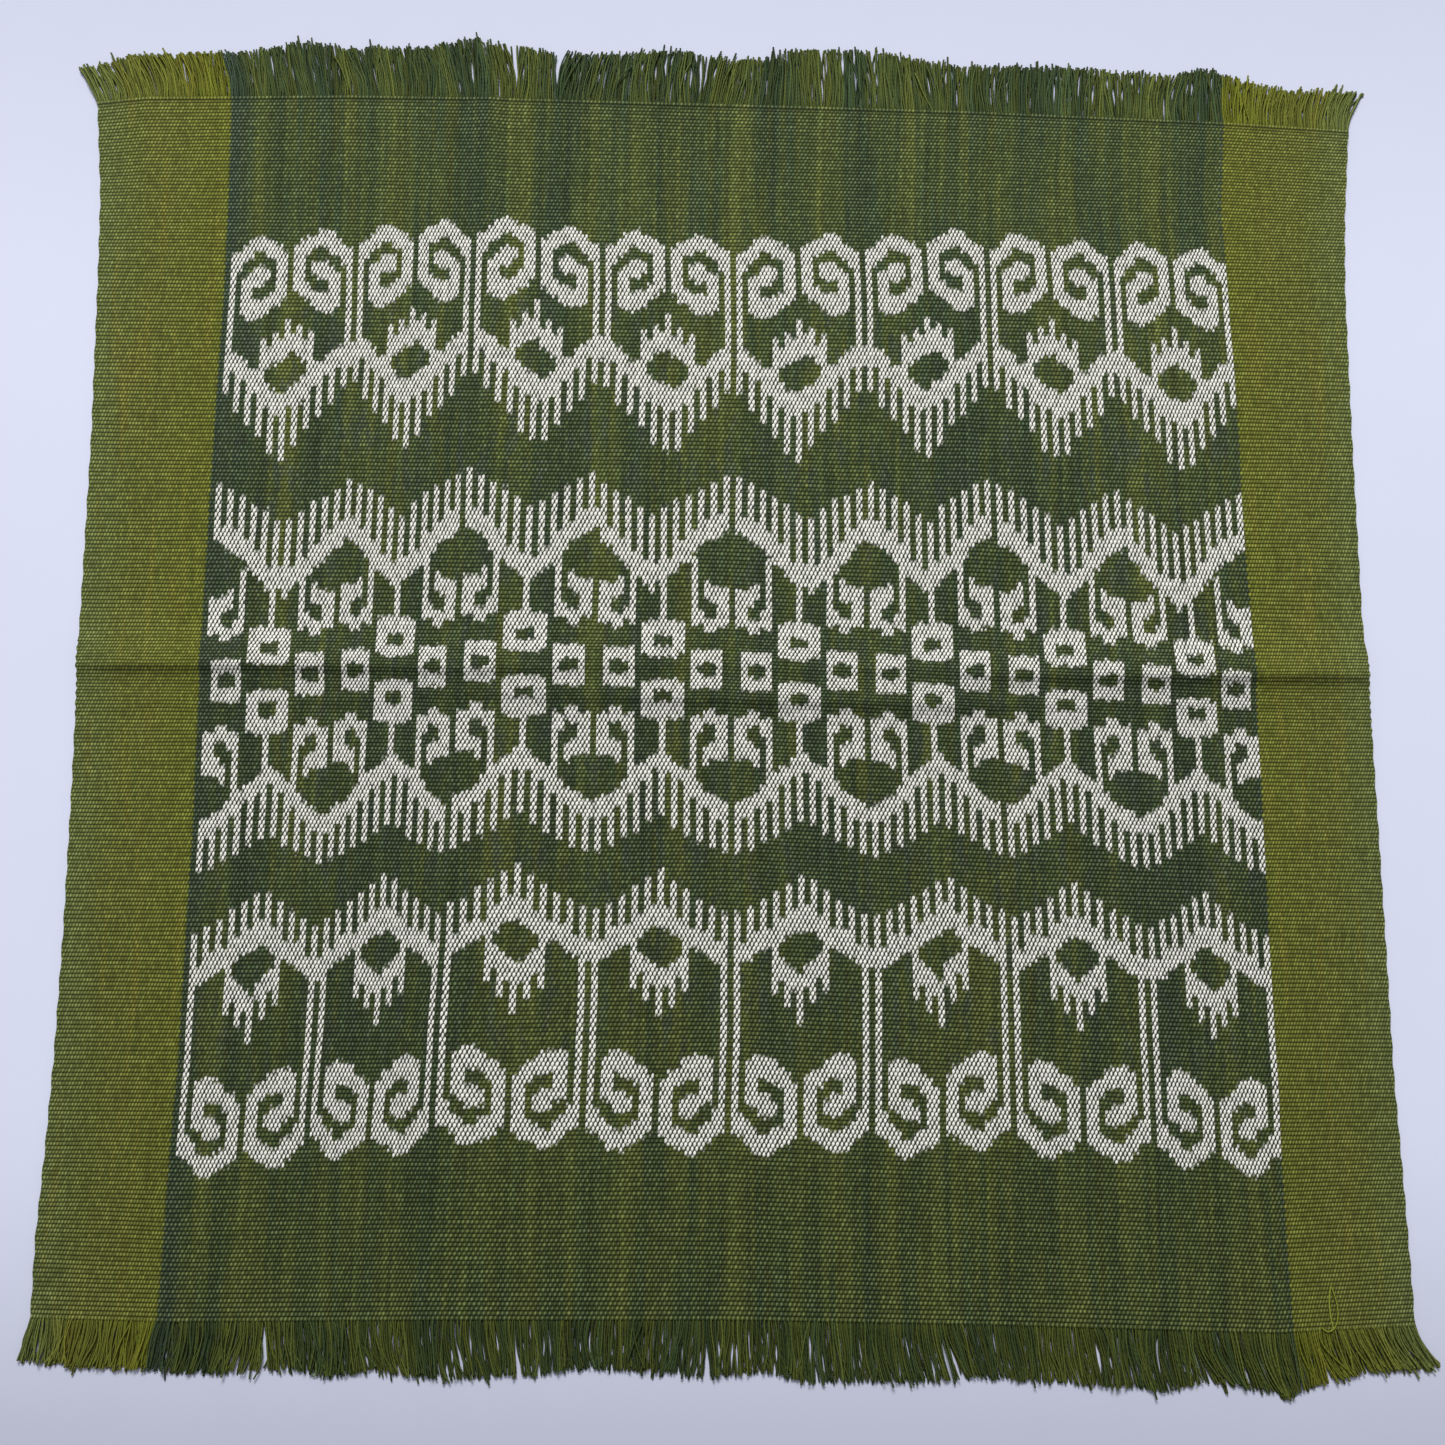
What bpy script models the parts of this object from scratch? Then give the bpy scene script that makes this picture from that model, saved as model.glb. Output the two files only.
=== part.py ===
"""Square woven mat with a cut-warp fringe on two edges, lying flat.

Three pieces: the cloth, one closed sheet that keeps its opened-out folds, and the far and
near fringes, each a narrow strip beside the cloth's edge with its locks growing out of it.
The warp runs along Y, +Y is away from the viewer and the mat rests on z = 0.
Run with: blender --background --python part.py
"""

import math
import random
from collections import namedtuple

import bmesh
import bpy
import numpy as np

COLLECTION_NAME = "woven_mat"
MM = 0.001

# The sheet, in mm
CLOTH_THICKNESS = 1.4
CLOTH_NEAR_END = -223.0
CLOTH_FAR_END = 218.0
HALF_WIDTH = 235.5

# Grid spacing of the sheet, in mm: wide over the flat, close beside a fold
FLAT_COLUMN_STEP = 26.0
FLAT_ROW_STEP = 27.0
FOLD_ROWS_NEAR = -21.0
FOLD_ROWS_FAR = 13.0
FOLD_ROW_STEP = 2.6
CREASE_OFFSETS = (-10.0, -4.5, 0.0, 4.5, 10.0)

# The two selvedges: fraction of the way from the near to the far end, left x and right x
Selvedge = namedtuple("Selvedge", "fraction left right")
SELVEDGES = (
    Selvedge(0.00, -235.5, 235.5),
    Selvedge(0.06, -235.3, 234.9),
    Selvedge(0.13, -233.6, 234.0),
    Selvedge(0.20, -232.3, 232.9),
    Selvedge(0.30, -231.4, 232.6),
    Selvedge(0.42, -231.2, 232.0),
    Selvedge(0.50, -231.4, 231.6),
    Selvedge(0.56, -231.4, 230.4),
    Selvedge(0.70, -231.0, 230.3),
    Selvedge(0.83, -231.7, 230.6),
    Selvedge(0.91, -232.5, 232.1),
    Selvedge(1.00, -235.4, 235.2),
)

# The two cut ends: x, then how far each end bows out past its own straight line
CutEnd = namedtuple("CutEnd", "x near far")
CUT_ENDS = (
    CutEnd(-235.5, 0.9, 1.9),
    CutEnd(-188.0, -0.4, 1.9),
    CutEnd(-140.0, -0.1, 2.3),
    CutEnd(-94.0, 0.3, 1.5),
    CutEnd(0.0, 0.3, -1.2),
    CutEnd(94.0, -1.4, -4.1),
    CutEnd(188.0, -4.0, -8.5),
    CutEnd(235.5, -1.7, -11.7),
)

# The fold across the middle opened out as two soft ridges side by side: where each one
# crosses x, and how high it stands there
Fold = namedtuple("Fold", "x first_y first_height second_y second_height")
FOLDS = (
    Fold(-235.5, 3.2, 2.3, -11.0, 0.2),
    Fold(-152.0, 2.8, 2.2, -10.0, 0.5),
    Fold(-92.0, 2.1, 1.8, -6.6, 1.0),
    Fold(-8.0, 3.9, 0.9, -8.8, 2.0),
    Fold(78.0, 1.2, 1.2, -11.0, 1.9),
    Fold(100.0, -0.5, 2.2, -11.0, 1.0),
    Fold(172.0, -0.8, 2.4, -10.6, 0.5),
    Fold(235.5, -0.8, 2.5, -10.6, 0.2),
)
FOLD_HALF_WIDTH = 5.5

# Fainter creases along the warp, in the far half
Crease = namedtuple("Crease", "near_x near_y far_x far_y height")
CREASES = (
    Crease(-80.8, 12.0, -88.5, 214.0, 0.8),
    Crease(92.0, 50.0, 85.0, 118.0, 0.7),
)
CREASE_HALF_WIDTH = 5.0
CREASE_END_FADE = 22.0

# The fringes, in mm
EDGE_GAP = 0.3
STRIP_WIDTH = 2.2
STRIP_THICKNESS = 1.2
LOCKS_PER_FRINGE = 130
LOCK_SHARE = 0.76
TIP_SHARE = 0.84
TIP_THICKNESS = 0.8
LOCK_STEPS = (0.34, 0.68, 1.0)
LEAN_POWER = 1.35
LENGTH_JITTER = 0.7

# A clump of fringe, from one split to the next: the sideways lean of its first and last lock
Clump = namedtuple("Clump", "start end lean_start lean_end")
FAR_CLUMPS = (
    Clump(-235.5, -185.0, -7.5, -4.2),
    Clump(-185.0, -78.0, -4.2, -3.4),
    Clump(-78.0, -63.0, 0.3, -0.4),
    Clump(-63.0, -8.5, 3.8, 1.2),
    Clump(-8.5, 15.0, 4.2, 1.6),
    Clump(15.0, 38.0, 2.0, -0.8),
    Clump(38.0, 57.5, 0.2, -2.0),
    Clump(57.5, 80.5, 0.2, -2.8),
    Clump(80.5, 99.5, 0.0, -0.8),
    Clump(99.5, 205.0, 0.6, 1.8),
    Clump(205.0, 235.5, 1.8, 5.6),
)
NEAR_CLUMPS = (
    Clump(-235.5, -185.0, -2.8, -3.6),
    Clump(-185.0, -156.0, -3.4, -1.4),
    Clump(-156.0, -87.0, 1.6, 2.8),
    Clump(-87.0, -5.6, 2.8, -2.0),
    Clump(-5.6, 3.6, 1.2, -0.6),
    Clump(3.6, 31.7, 1.6, 0.4),
    Clump(31.7, 73.8, 2.6, 2.8),
    Clump(73.8, 116.0, 4.8, 2.2),
    Clump(116.0, 160.4, 3.6, 2.6),
    Clump(160.4, 202.0, 6.4, 4.0),
    Clump(202.0, 235.5, 5.0, 7.6),
)

# How far the locks reach past the cloth's cut edge
Reach = namedtuple("Reach", "x length")
FAR_REACH = (
    Reach(-235.5, 13.4), Reach(-213.0, 16.9), Reach(-180.0, 17.4), Reach(-152.0, 21.4),
    Reach(-137.0, 18.6), Reach(-107.0, 19.5), Reach(-92.0, 23.6), Reach(-77.0, 20.3),
    Reach(-62.0, 18.0), Reach(-16.0, 20.5), Reach(0.0, 17.7), Reach(14.0, 18.5),
    Reach(30.0, 23.0), Reach(60.0, 22.5), Reach(90.0, 17.5), Reach(135.0, 19.0),
    Reach(165.0, 17.0), Reach(180.0, 20.8), Reach(210.0, 13.4), Reach(235.5, 14.6),
)
NEAR_REACH = (
    Reach(-235.5, 13.5), Reach(-218.0, 15.2), Reach(-191.0, 15.4), Reach(-176.0, 17.0),
    Reach(-150.0, 15.2), Reach(-136.0, 18.0), Reach(-120.0, 16.0), Reach(-96.0, 19.2),
    Reach(-42.0, 15.8), Reach(0.0, 18.3), Reach(13.0, 16.2), Reach(28.0, 19.6),
    Reach(67.0, 18.5), Reach(80.0, 16.6), Reach(148.0, 19.8), Reach(162.0, 16.4),
    Reach(188.0, 20.8), Reach(204.0, 15.4), Reach(216.0, 13.4), Reach(235.5, 13.6),
)


def read_table(table, key, column, position):
    """Value of one named column where the key column has the given position."""
    keys = [getattr(row, key) for row in table]
    values = [getattr(row, column) for row in table]
    return float(np.interp(position, keys, values))


def bell(distance, half_width):
    """Soft rounded ridge profile: 1 on the line, 0.37 at the half width."""
    return math.exp(-(distance / half_width) ** 2)


def fold_height(x, y):
    """Height of the two cross-wise ridges at a point of the mat."""
    first = read_table(FOLDS, "x", "first_height", x)
    first *= bell(y - read_table(FOLDS, "x", "first_y", x), FOLD_HALF_WIDTH)
    second = read_table(FOLDS, "x", "second_height", x)
    second *= bell(y - read_table(FOLDS, "x", "second_y", x), FOLD_HALF_WIDTH)
    return first + second


def crease_height(x, y):
    """Height of the creases along the warp, fading out at their ends."""
    height = 0.0
    for crease in CREASES:
        along = (y - crease.near_y) / (crease.far_y - crease.near_y)
        line_x = crease.near_x + (crease.far_x - crease.near_x) * along
        past_end = max(crease.near_y - y, y - crease.far_y, 0.0)
        fade = max(0.0, 1.0 - past_end / CREASE_END_FADE)
        height += crease.height * fade * bell(x - line_x, CREASE_HALF_WIDTH)
    return height


def raised(x, y):
    """Height of the sheet above the floor, flat where no fold passes."""
    height = fold_height(x, y) + crease_height(x, y)
    return height if height > 0.05 else 0.0


def end_line(x, end):
    """y of the cut end called near or far at x."""
    base = CLOTH_NEAR_END if end == "near" else CLOTH_FAR_END
    return base + read_table(CUT_ENDS, "x", end, x)


def sheet_point(across, row_y):
    """Place on the mat of a grid point, from its share of the width and its row's y."""
    fraction = (row_y - CLOTH_NEAR_END) / (CLOTH_FAR_END - CLOTH_NEAR_END)
    left = read_table(SELVEDGES, "fraction", "left", fraction)
    right = read_table(SELVEDGES, "fraction", "right", fraction)
    x = left + (right - left) * across
    near_bow = read_table(CUT_ENDS, "x", "near", x) * (1.0 - fraction) ** 2
    far_bow = read_table(CUT_ENDS, "x", "far", x) * fraction ** 2
    return x, row_y + near_bow + far_bow


def grid_columns():
    """Shares of the width at which the sheet has its columns."""
    count = round(2.0 * HALF_WIDTH / FLAT_COLUMN_STEP)
    stations = [2.0 * HALF_WIDTH * index / count - HALF_WIDTH for index in range(count + 1)]
    for crease in CREASES:
        middle = 0.5 * (crease.near_x + crease.far_x)
        reach = max(CREASE_OFFSETS) + 0.3 * FLAT_COLUMN_STEP
        stations = [x for x in stations if abs(x - middle) > reach]
        stations += [middle + offset for offset in CREASE_OFFSETS]
    return [(x + HALF_WIDTH) / (2.0 * HALF_WIDTH) for x in sorted(stations)]


def grid_rows():
    """y of each row of the sheet, close together over the fold."""
    near_count = round((FOLD_ROWS_NEAR - CLOTH_NEAR_END) / FLAT_ROW_STEP)
    far_count = round((CLOTH_FAR_END - FOLD_ROWS_FAR) / FLAT_ROW_STEP)
    fold_count = round((FOLD_ROWS_FAR - FOLD_ROWS_NEAR) / FOLD_ROW_STEP)
    near = np.linspace(CLOTH_NEAR_END, FOLD_ROWS_NEAR, near_count + 1)
    fold = np.linspace(FOLD_ROWS_NEAR, FOLD_ROWS_FAR, fold_count + 1)
    far = np.linspace(FOLD_ROWS_FAR, CLOTH_FAR_END, far_count + 1)
    return list(near[:-1]) + list(fold[:-1]) + list(far)


def clear_scene():
    for existing in list(bpy.data.objects):
        bpy.data.objects.remove(existing, do_unlink=True)


def make_material(name, colour, roughness):
    material = bpy.data.materials.new(name)
    material.use_nodes = True
    shader = material.node_tree.nodes["Principled BSDF"]
    shader.inputs["Base Color"].default_value = (*colour, 1.0)
    shader.inputs["Roughness"].default_value = roughness
    shader.inputs["Metallic"].default_value = 0.0
    return material


def object_from_bmesh(form, name, material, collection):
    mesh = bpy.data.meshes.new(name)
    form.to_mesh(mesh)
    form.free()
    mesh.materials.append(material)
    piece = bpy.data.objects.new(name, mesh)
    collection.objects.link(piece)
    return piece


def build_cloth(material, collection):
    """The sheet: a grid laid over the outline and the folds, thickened downwards."""
    columns = grid_columns()
    rows = grid_rows()
    form = bmesh.new()
    bmesh.ops.create_grid(
        form, x_segments=len(columns) - 1, y_segments=len(rows) - 1, size=1.0)
    for vertex in form.verts:
        column = round((vertex.co.x + 1.0) / 2.0 * (len(columns) - 1))
        row = round((vertex.co.y + 1.0) / 2.0 * (len(rows) - 1))
        x, y = sheet_point(columns[column], rows[row])
        vertex.co = (x * MM, y * MM, (CLOTH_THICKNESS + raised(x, y)) * MM)
    cloth = object_from_bmesh(form, "cloth", material, collection)
    thickness = cloth.modifiers.new("thickness", "SOLIDIFY")
    thickness.thickness = CLOTH_THICKNESS * MM
    thickness.offset = -1.0
    return cloth


def lean_at(clumps, x):
    """Sideways lean of the lock rooted at x, from the clump that holds it."""
    for clump in clumps:
        if x <= clump.end:
            share = (x - clump.start) / (clump.end - clump.start)
            return clump.lean_start + (clump.lean_end - clump.lean_start) * share
    return clumps[-1].lean_end


def plan_locks(clumps, reach, seed):
    """Root, lean, length and tip width of every lock along one edge."""
    chance = random.Random(seed)
    pitch = 2.0 * HALF_WIDTH / (LOCKS_PER_FRINGE - 1 + LOCK_SHARE)
    roots = [-HALF_WIDTH + pitch * (index + 0.5 * LOCK_SHARE)
             for index in range(LOCKS_PER_FRINGE)]
    leans = [lean_at(clumps, x) for x in roots]
    tips = [x + lean for x, lean in zip(roots, leans)]
    locks = []
    for index, root in enumerate(roots):
        room = pitch
        if index > 0:
            room = min(room, tips[index] - tips[index - 1])
        if index < LOCKS_PER_FRINGE - 1:
            room = min(room, tips[index + 1] - tips[index])
        length = read_table(reach, "x", "length", root) - EDGE_GAP - STRIP_WIDTH
        length += chance.uniform(-LENGTH_JITTER, LENGTH_JITTER)
        locks.append({
            "root": root,
            "root_width": pitch * LOCK_SHARE,
            "tip_width": room * LOCK_SHARE * TIP_SHARE,
            "lean": leans[index],
            "length": length,
        })
    return locks


def build_fringe(name, end, clumps, reach, seed, material, collection):
    """One fringe: a strip 0.3 mm outside the cut end, each second outer face grown into a lock."""
    outwards = -1.0 if end == "near" else 1.0
    locks = plan_locks(clumps, reach, seed)
    stations = []
    for lock in locks:
        stations.append(lock["root"] - 0.5 * lock["root_width"])
        stations.append(lock["root"] + 0.5 * lock["root_width"])
    form = bmesh.new()
    bmesh.ops.create_grid(form, x_segments=len(stations) - 1, y_segments=1, size=1.0)
    for vertex in form.verts:
        x = stations[round((vertex.co.x + 1.0) / 2.0 * (len(stations) - 1))]
        outer = vertex.co.y * outwards > 0.0
        offset = EDGE_GAP + (STRIP_WIDTH if outer else 0.0)
        y = end_line(x, end) + outwards * offset
        vertex.co = (x * MM, y * MM, 0.0)
    lower = list(form.faces)
    grown = bmesh.ops.extrude_face_region(form, geom=lower, use_keep_orig=True)
    upper = [item for item in grown["geom"] if isinstance(item, bmesh.types.BMVert)]
    bmesh.ops.translate(form, verts=upper, vec=(0.0, 0.0, STRIP_THICKNESS * MM))
    bmesh.ops.recalc_face_normals(form, faces=form.faces)
    form.normal_update()

    outer_faces = [face for face in form.faces if face.normal.y * outwards > 0.9]
    outer_faces.sort(key=lambda face: face.calc_center_median().x)
    faces = outer_faces[::2]
    edge_y = [face.calc_center_median().y / MM for face in faces]
    for step in LOCK_STEPS:
        result = bmesh.ops.extrude_discrete_faces(form, faces=faces)
        faces = sorted(result["faces"], key=lambda face: face.calc_center_median().x)
        thickness = STRIP_THICKNESS + (TIP_THICKNESS - STRIP_THICKNESS) * step
        for lock, face, start_y in zip(locks, faces, edge_y):
            width = lock["root_width"] + (lock["tip_width"] - lock["root_width"]) * step
            middle_x = lock["root"] + lock["lean"] * step ** LEAN_POWER
            y = start_y + outwards * lock["length"] * step
            old_middle = face.calc_center_median().copy()
            for vertex in face.verts:
                side = 0.5 if vertex.co.x > old_middle.x else -0.5
                top = vertex.co.z > old_middle.z
                vertex.co.x = (middle_x + side * width) * MM
                vertex.co.y = y * MM
                vertex.co.z = thickness * MM if top else 0.0
    return object_from_bmesh(form, name, material, collection)


def centre_on_floor(pieces):
    """Shift the meshes so that the middle of the whole mat's underside is at the origin."""
    points = [vertex.co for piece in pieces for vertex in piece.data.vertices]
    middle_x = 0.5 * (min(p.x for p in points) + max(p.x for p in points))
    middle_y = 0.5 * (min(p.y for p in points) + max(p.y for p in points))
    for piece in pieces:
        for vertex in piece.data.vertices:
            vertex.co.x -= middle_x
            vertex.co.y -= middle_y


def main():
    clear_scene()
    collection = bpy.data.collections.new(COLLECTION_NAME)
    bpy.context.scene.collection.children.link(collection)
    cloth_material = make_material("ikat_cloth", (0.090, 0.110, 0.040), 0.9)
    far_material = make_material("far_fringe_yarn", (0.085, 0.110, 0.035), 0.9)
    near_material = make_material("near_fringe_yarn", (0.075, 0.095, 0.030), 0.9)
    cloth = build_cloth(cloth_material, collection)
    far_fringe = build_fringe(
        "fringe_far", "far", FAR_CLUMPS, FAR_REACH, 11, far_material, collection)
    near_fringe = build_fringe(
        "fringe_near", "near", NEAR_CLUMPS, NEAR_REACH, 12, near_material, collection)
    centre_on_floor([cloth, far_fringe, near_fringe])


main()
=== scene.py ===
"""Looks of the woven ikat mat: the patterned cloth, its two cut-warp fringes and the stage.

Lengths in the tables are in millimetres, and weave places are counted in warp ends, from the
left selvedge, and in picks of weft, from the middle of the mat, plus towards the far end.
"""

import math
import random
from collections import namedtuple
from functools import lru_cache

import bmesh
import bpy
from bpy.props import FloatProperty, FloatVectorProperty, IntProperty, PointerProperty
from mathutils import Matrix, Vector, noise
import numpy as np


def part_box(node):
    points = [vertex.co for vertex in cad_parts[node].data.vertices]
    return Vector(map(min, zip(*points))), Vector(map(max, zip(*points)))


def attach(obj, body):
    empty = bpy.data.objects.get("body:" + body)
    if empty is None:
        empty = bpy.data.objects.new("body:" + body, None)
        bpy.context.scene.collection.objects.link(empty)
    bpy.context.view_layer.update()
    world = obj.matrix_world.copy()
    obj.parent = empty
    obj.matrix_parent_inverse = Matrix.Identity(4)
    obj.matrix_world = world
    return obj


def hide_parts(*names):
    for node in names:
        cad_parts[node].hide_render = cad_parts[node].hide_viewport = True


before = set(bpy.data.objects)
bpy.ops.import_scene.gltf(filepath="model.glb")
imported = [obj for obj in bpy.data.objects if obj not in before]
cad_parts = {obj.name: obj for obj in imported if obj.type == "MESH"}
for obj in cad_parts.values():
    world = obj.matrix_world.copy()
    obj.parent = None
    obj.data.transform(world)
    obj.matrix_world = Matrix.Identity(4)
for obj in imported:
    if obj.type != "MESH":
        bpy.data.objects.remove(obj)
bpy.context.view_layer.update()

bl_info = {
    "name": "Woven ikat mat",
    "version": (1, 0, 0),
    "blender": (4, 5, 0),
    "location": "View3D > Sidebar > Mat",
    "description": "Makes a hand-woven ikat mat with cut-warp fringes, and its stage",
    "category": "Object",
}

MM = 0.001

# Sheet of the mat, in mm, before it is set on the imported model's place
CLOTH_NEAR_END = -223.0
CLOTH_FAR_END = 218.0

# Fraction of the way from near to far end, then x of the left selvedge, of the left and
# right side of the patterned panel, and of the right selvedge
Station = namedtuple("Station", "fraction left panel_left panel_right right")
STATIONS = (
    Station(0.00, -235.5, -192.5, 195.5, 235.5),
    Station(0.06, -235.3, -191.6, 194.7, 234.9),
    Station(0.13, -233.6, -190.6, 194.1, 234.0),
    Station(0.20, -232.3, -189.3, 193.9, 232.9),
    Station(0.30, -231.4, -188.1, 193.3, 232.6),
    Station(0.42, -231.2, -187.5, 192.6, 232.0),
    Station(0.50, -231.4, -187.1, 192.0, 231.6),
    Station(0.56, -231.4, -187.1, 191.7, 230.4),
    Station(0.70, -231.0, -186.3, 190.2, 230.3),
    Station(0.83, -231.7, -184.9, 189.0, 230.6),
    Station(0.91, -232.5, -184.6, 187.6, 232.1),
    Station(1.00, -235.4, -185.1, 190.0, 235.2),
)

# x, then how far the rows of weft bow out from a straight line there: at the near cut end,
# at the stated fractions of the way to the far end, and at the far cut end
Bow = namedtuple("Bow", "x near low middle high far")
BOWS = (
    Bow(-235.5, 0.9, -0.4, 1.8, 5.0, -0.3),
    Bow(-217.0, 0.4, -0.4, 1.8, 4.8, 1.7),
    Bow(-188.0, -0.4, -0.4, 1.8, 4.6, 1.9),
    Bow(-140.0, -0.1, -0.2, 1.6, 4.2, 2.3),
    Bow(-94.0, 0.3, 0.0, 1.0, 3.4, 1.5),
    Bow(0.0, 0.3, 1.2, 0.8, 2.2, -1.2),
    Bow(94.0, -1.4, -3.0, -3.2, 1.0, -4.1),
    Bow(188.0, -4.0, -6.3, -6.0, -1.3, -8.5),
    Bow(235.5, -1.7, -6.5, -6.4, -2.6, -11.7),
)
BOW_FRACTIONS = (0.0, 0.2, 0.5, 0.85, 1.0)

# The opened-out fold: where its two soft ridges cross x, how high each stands there, and how
# sharply the ridges drop towards the viewer
Fold = namedtuple("Fold", "x first_y first_height second_y second_height drop_width")
FOLDS = (
    Fold(-235.5, 3.2, 1.5, -11.0, 0.2, 2.0),
    Fold(-215.0, 3.1, 2.4, -10.8, 0.3, 2.0),
    Fold(-152.0, 2.8, 2.4, -10.0, 0.5, 2.1),
    Fold(-92.0, 2.1, 2.0, -6.6, 0.9, 2.4),
    Fold(-8.0, 3.9, 1.0, -8.8, 1.8, 2.8),
    Fold(78.0, 1.2, 1.2, -11.0, 1.7, 2.8),
    Fold(100.0, -0.5, 2.2, -11.0, 1.0, 2.6),
    Fold(172.0, -0.8, 2.8, -10.6, 0.5, 2.6),
    Fold(215.0, -0.8, 2.8, -10.6, 0.3, 2.5),
    Fold(235.5, -0.8, 1.8, -10.6, 0.2, 2.4),
)
FOLD_FAR_HALF_WIDTH = 11.0
FOLD_NEAR_HALF_WIDTH = 5.4
FOLD_DROP_SHARE = 0.5

# Fainter creases along the warp, in the far half
Crease = namedtuple("Crease", "near_x near_y far_x far_y height")
CREASES = (
    Crease(-80.8, 12.0, -88.5, 214.0, 0.8),
    Crease(92.0, 50.0, 85.0, 118.0, 0.7),
)
CREASE_HALF_WIDTH = 5.0
CREASE_END_FADE = 22.0

# Where picks of weft lie along the mat: pick from the middle, y of its row
PickRow = namedtuple("PickRow", "pick y")
PICK_ROWS = (
    PickRow(-158.0, -223.0), PickRow(-151.4, -212.9), PickRow(-127.0, -176.5),
    PickRow(-90.0, -122.4),
    PickRow(-54.0, -70.4), PickRow(-25.7, -31.4), PickRow(-9.5, -9.9),
    PickRow(0.0, 1.2), PickRow(9.2, 11.9), PickRow(19.7, 26.5), PickRow(50.3, 71.1),
    PickRow(84.2, 120.4), PickRow(125.2, 178.6), PickRow(153.0, 218.0),
)
NEAR_PICK = -158
FAR_PICK = 153
PICKS_PER_ROW = 2
FOLD_FIRST_PICK = -13
FOLD_LAST_PICK = 7
ROWS_PER_PICK_IN_FOLD = 2

# Warp ends across the mat
SIDE_ENDS = 78
ENDS_PER_COLUMN = 3
COLUMNS_PER_REPEAT = 22
REPEATS = 8
RIGHT_SIDE_ENDS = 76
LEFT_MARGIN_ENDS = 3
RIGHT_MARGIN_ENDS = 2
MARGIN_FADE_ENDS = 15.0
FIRST_STEM_END = SIDE_ENDS + LEFT_MARGIN_ENDS
REPEAT_ENDS = COLUMNS_PER_REPEAT * ENDS_PER_COLUMN
PANEL_COLUMNS = REPEATS * COLUMNS_PER_REPEAT - 1
RIGHT_MARGIN_START = FIRST_STEM_END + PANEL_COLUMNS * ENDS_PER_COLUMN
PANEL_END = RIGHT_MARGIN_START + RIGHT_MARGIN_ENDS
ALL_ENDS = PANEL_END + RIGHT_SIDE_ENDS
LEFT_STEM_INSET = 3.2
RIGHT_STEM_INSET = 2.5

# Share of the way from the first to the last stem at which the gap before each repeat lies,
# as the warp spread on the loom: in the near half, in the middle and in the far half
NEAR_REPEAT_STARTS = (0.0, 0.1154, 0.2275, 0.3664, 0.4993, 0.6309, 0.7601, 0.8873, 1.0)
MIDDLE_REPEAT_STARTS = (0.0, 0.1198, 0.2358, 0.3697, 0.5013, 0.6311, 0.7574, 0.8853, 1.0)
FAR_REPEAT_STARTS = (0.0, 0.1240, 0.2421, 0.3726, 0.5052, 0.6357, 0.7610, 0.8858, 1.0)
REPEAT_YS = (-150.0, 0.0, 120.0)

# How many picks the tied groups slipped towards the viewer, for the left and right half of a
# repeat: in its far waves and scrolls, in the mat's middle, and in its near waves and scrolls.
# The spread is how much further from the mat's middle its middle groups stand
Slip = namedtuple(
    "Slip", "far_left far_right middle_left middle_right near_left near_right spread")
SLIPS = (
    Slip(3.0, 0.9, 5.1, 3.0, 5.7, 3.6, 1.0),
    Slip(-0.9, -2.4, 1.5, 0.0, 1.6, 0.6, 0.9),
    Slip(-3.4, -1.1, -1.5, -0.7, -1.7, -0.7, 0.7),
    Slip(-0.3, 0.8, 0.0, 0.9, 0.0, 1.0, 0.2),
    Slip(1.3, 0.0, 1.1, -0.3, 1.0, 0.0, 0.1),
    Slip(-0.3, -1.9, 0.1, -1.7, 0.5, -2.2, 0.1),
    Slip(-1.2, 0.2, -0.8, 0.1, -0.5, -0.1, -0.2),
    Slip(0.8, 1.7, 0.8, 1.5, 0.7, 2.0, -0.3),
)
FULL_SPREAD_PICK = 12.0
# The squares on a repeat's middle stem stayed in one piece
WHOLE_SQUARE_COLUMNS = 3
WHOLE_SQUARE_PICKS = 25.0
# Columns by which the point of the far middle wave stands beside its own stem
FAR_POINT_OFFSETS = (2, 0, 0, -2, 2, 0, 0, -2)
# Repeats that share a white bar with the next one
JOINED_REPEATS = (0, 2, 4, 6)

# The repeat, charted in columns from its middle stem and in picks from the mat's middle.
# White spans of the middle squares and small hooked scrolls, the same towards both ends
MIDDLE_CHART = {
    0: ((3.5, 6.5), (10.0, 25.0)),
    1: ((3.5, 6.5), (10.0, 14.0)),
    2: ((3.5, 14.0),),
    3: ((4.2, 13.3),),
    5: ((-1.0, 5.7), (13.0, 30.0)),
    6: ((1.6, 5.7), (13.3, 17.0)),
    7: ((2.2, 5.7), (11.3, 14.8), (20.0, 24.7)),
    8: ((2.0, 5.7), (11.3, 15.0), (19.0, 23.0)),
    9: ((-1.0, 5.7), (13.0, 22.8)),
    10: ((13.0, 22.8),),
}

# The middle wave, by columns from its point: inner edge of the band, outer edge of the band
# or top of the tooth
Wave = namedtuple("Wave", "inner outer")
MIDDLE_WAVE = {
    0: Wave(21.0, 39.8), 1: Wave(23.0, 28.3), 2: Wave(24.6, 42.0), 3: Wave(25.5, 30.3),
    4: Wave(26.7, 44.5), 5: Wave(28.7, 34.2), 6: Wave(29.8, 46.0), 7: Wave(32.0, 37.2),
    8: Wave(33.3, 47.8), 9: Wave(34.0, 39.8), 10: Wave(34.8, 49.3), 11: Wave(36.0, 40.6),
    12: Wave(37.0, 51.0), 13: Wave(36.5, 41.0),
}
NEAR_WAVE_CHANGE = Wave(-0.7, -1.5)
# Picks of the chart's middle, and how many picks from the middle they lie in the near half,
# where the mat was beaten up tighter
NearPick = namedtuple("NearPick", "charted woven")
NEAR_PICKS = (
    NearPick(-2.0, -2.0), NearPick(9.0, 9.0), NearPick(24.0, 26.0), NearPick(38.0, 40.0),
    NearPick(54.0, 55.0),
)

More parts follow.
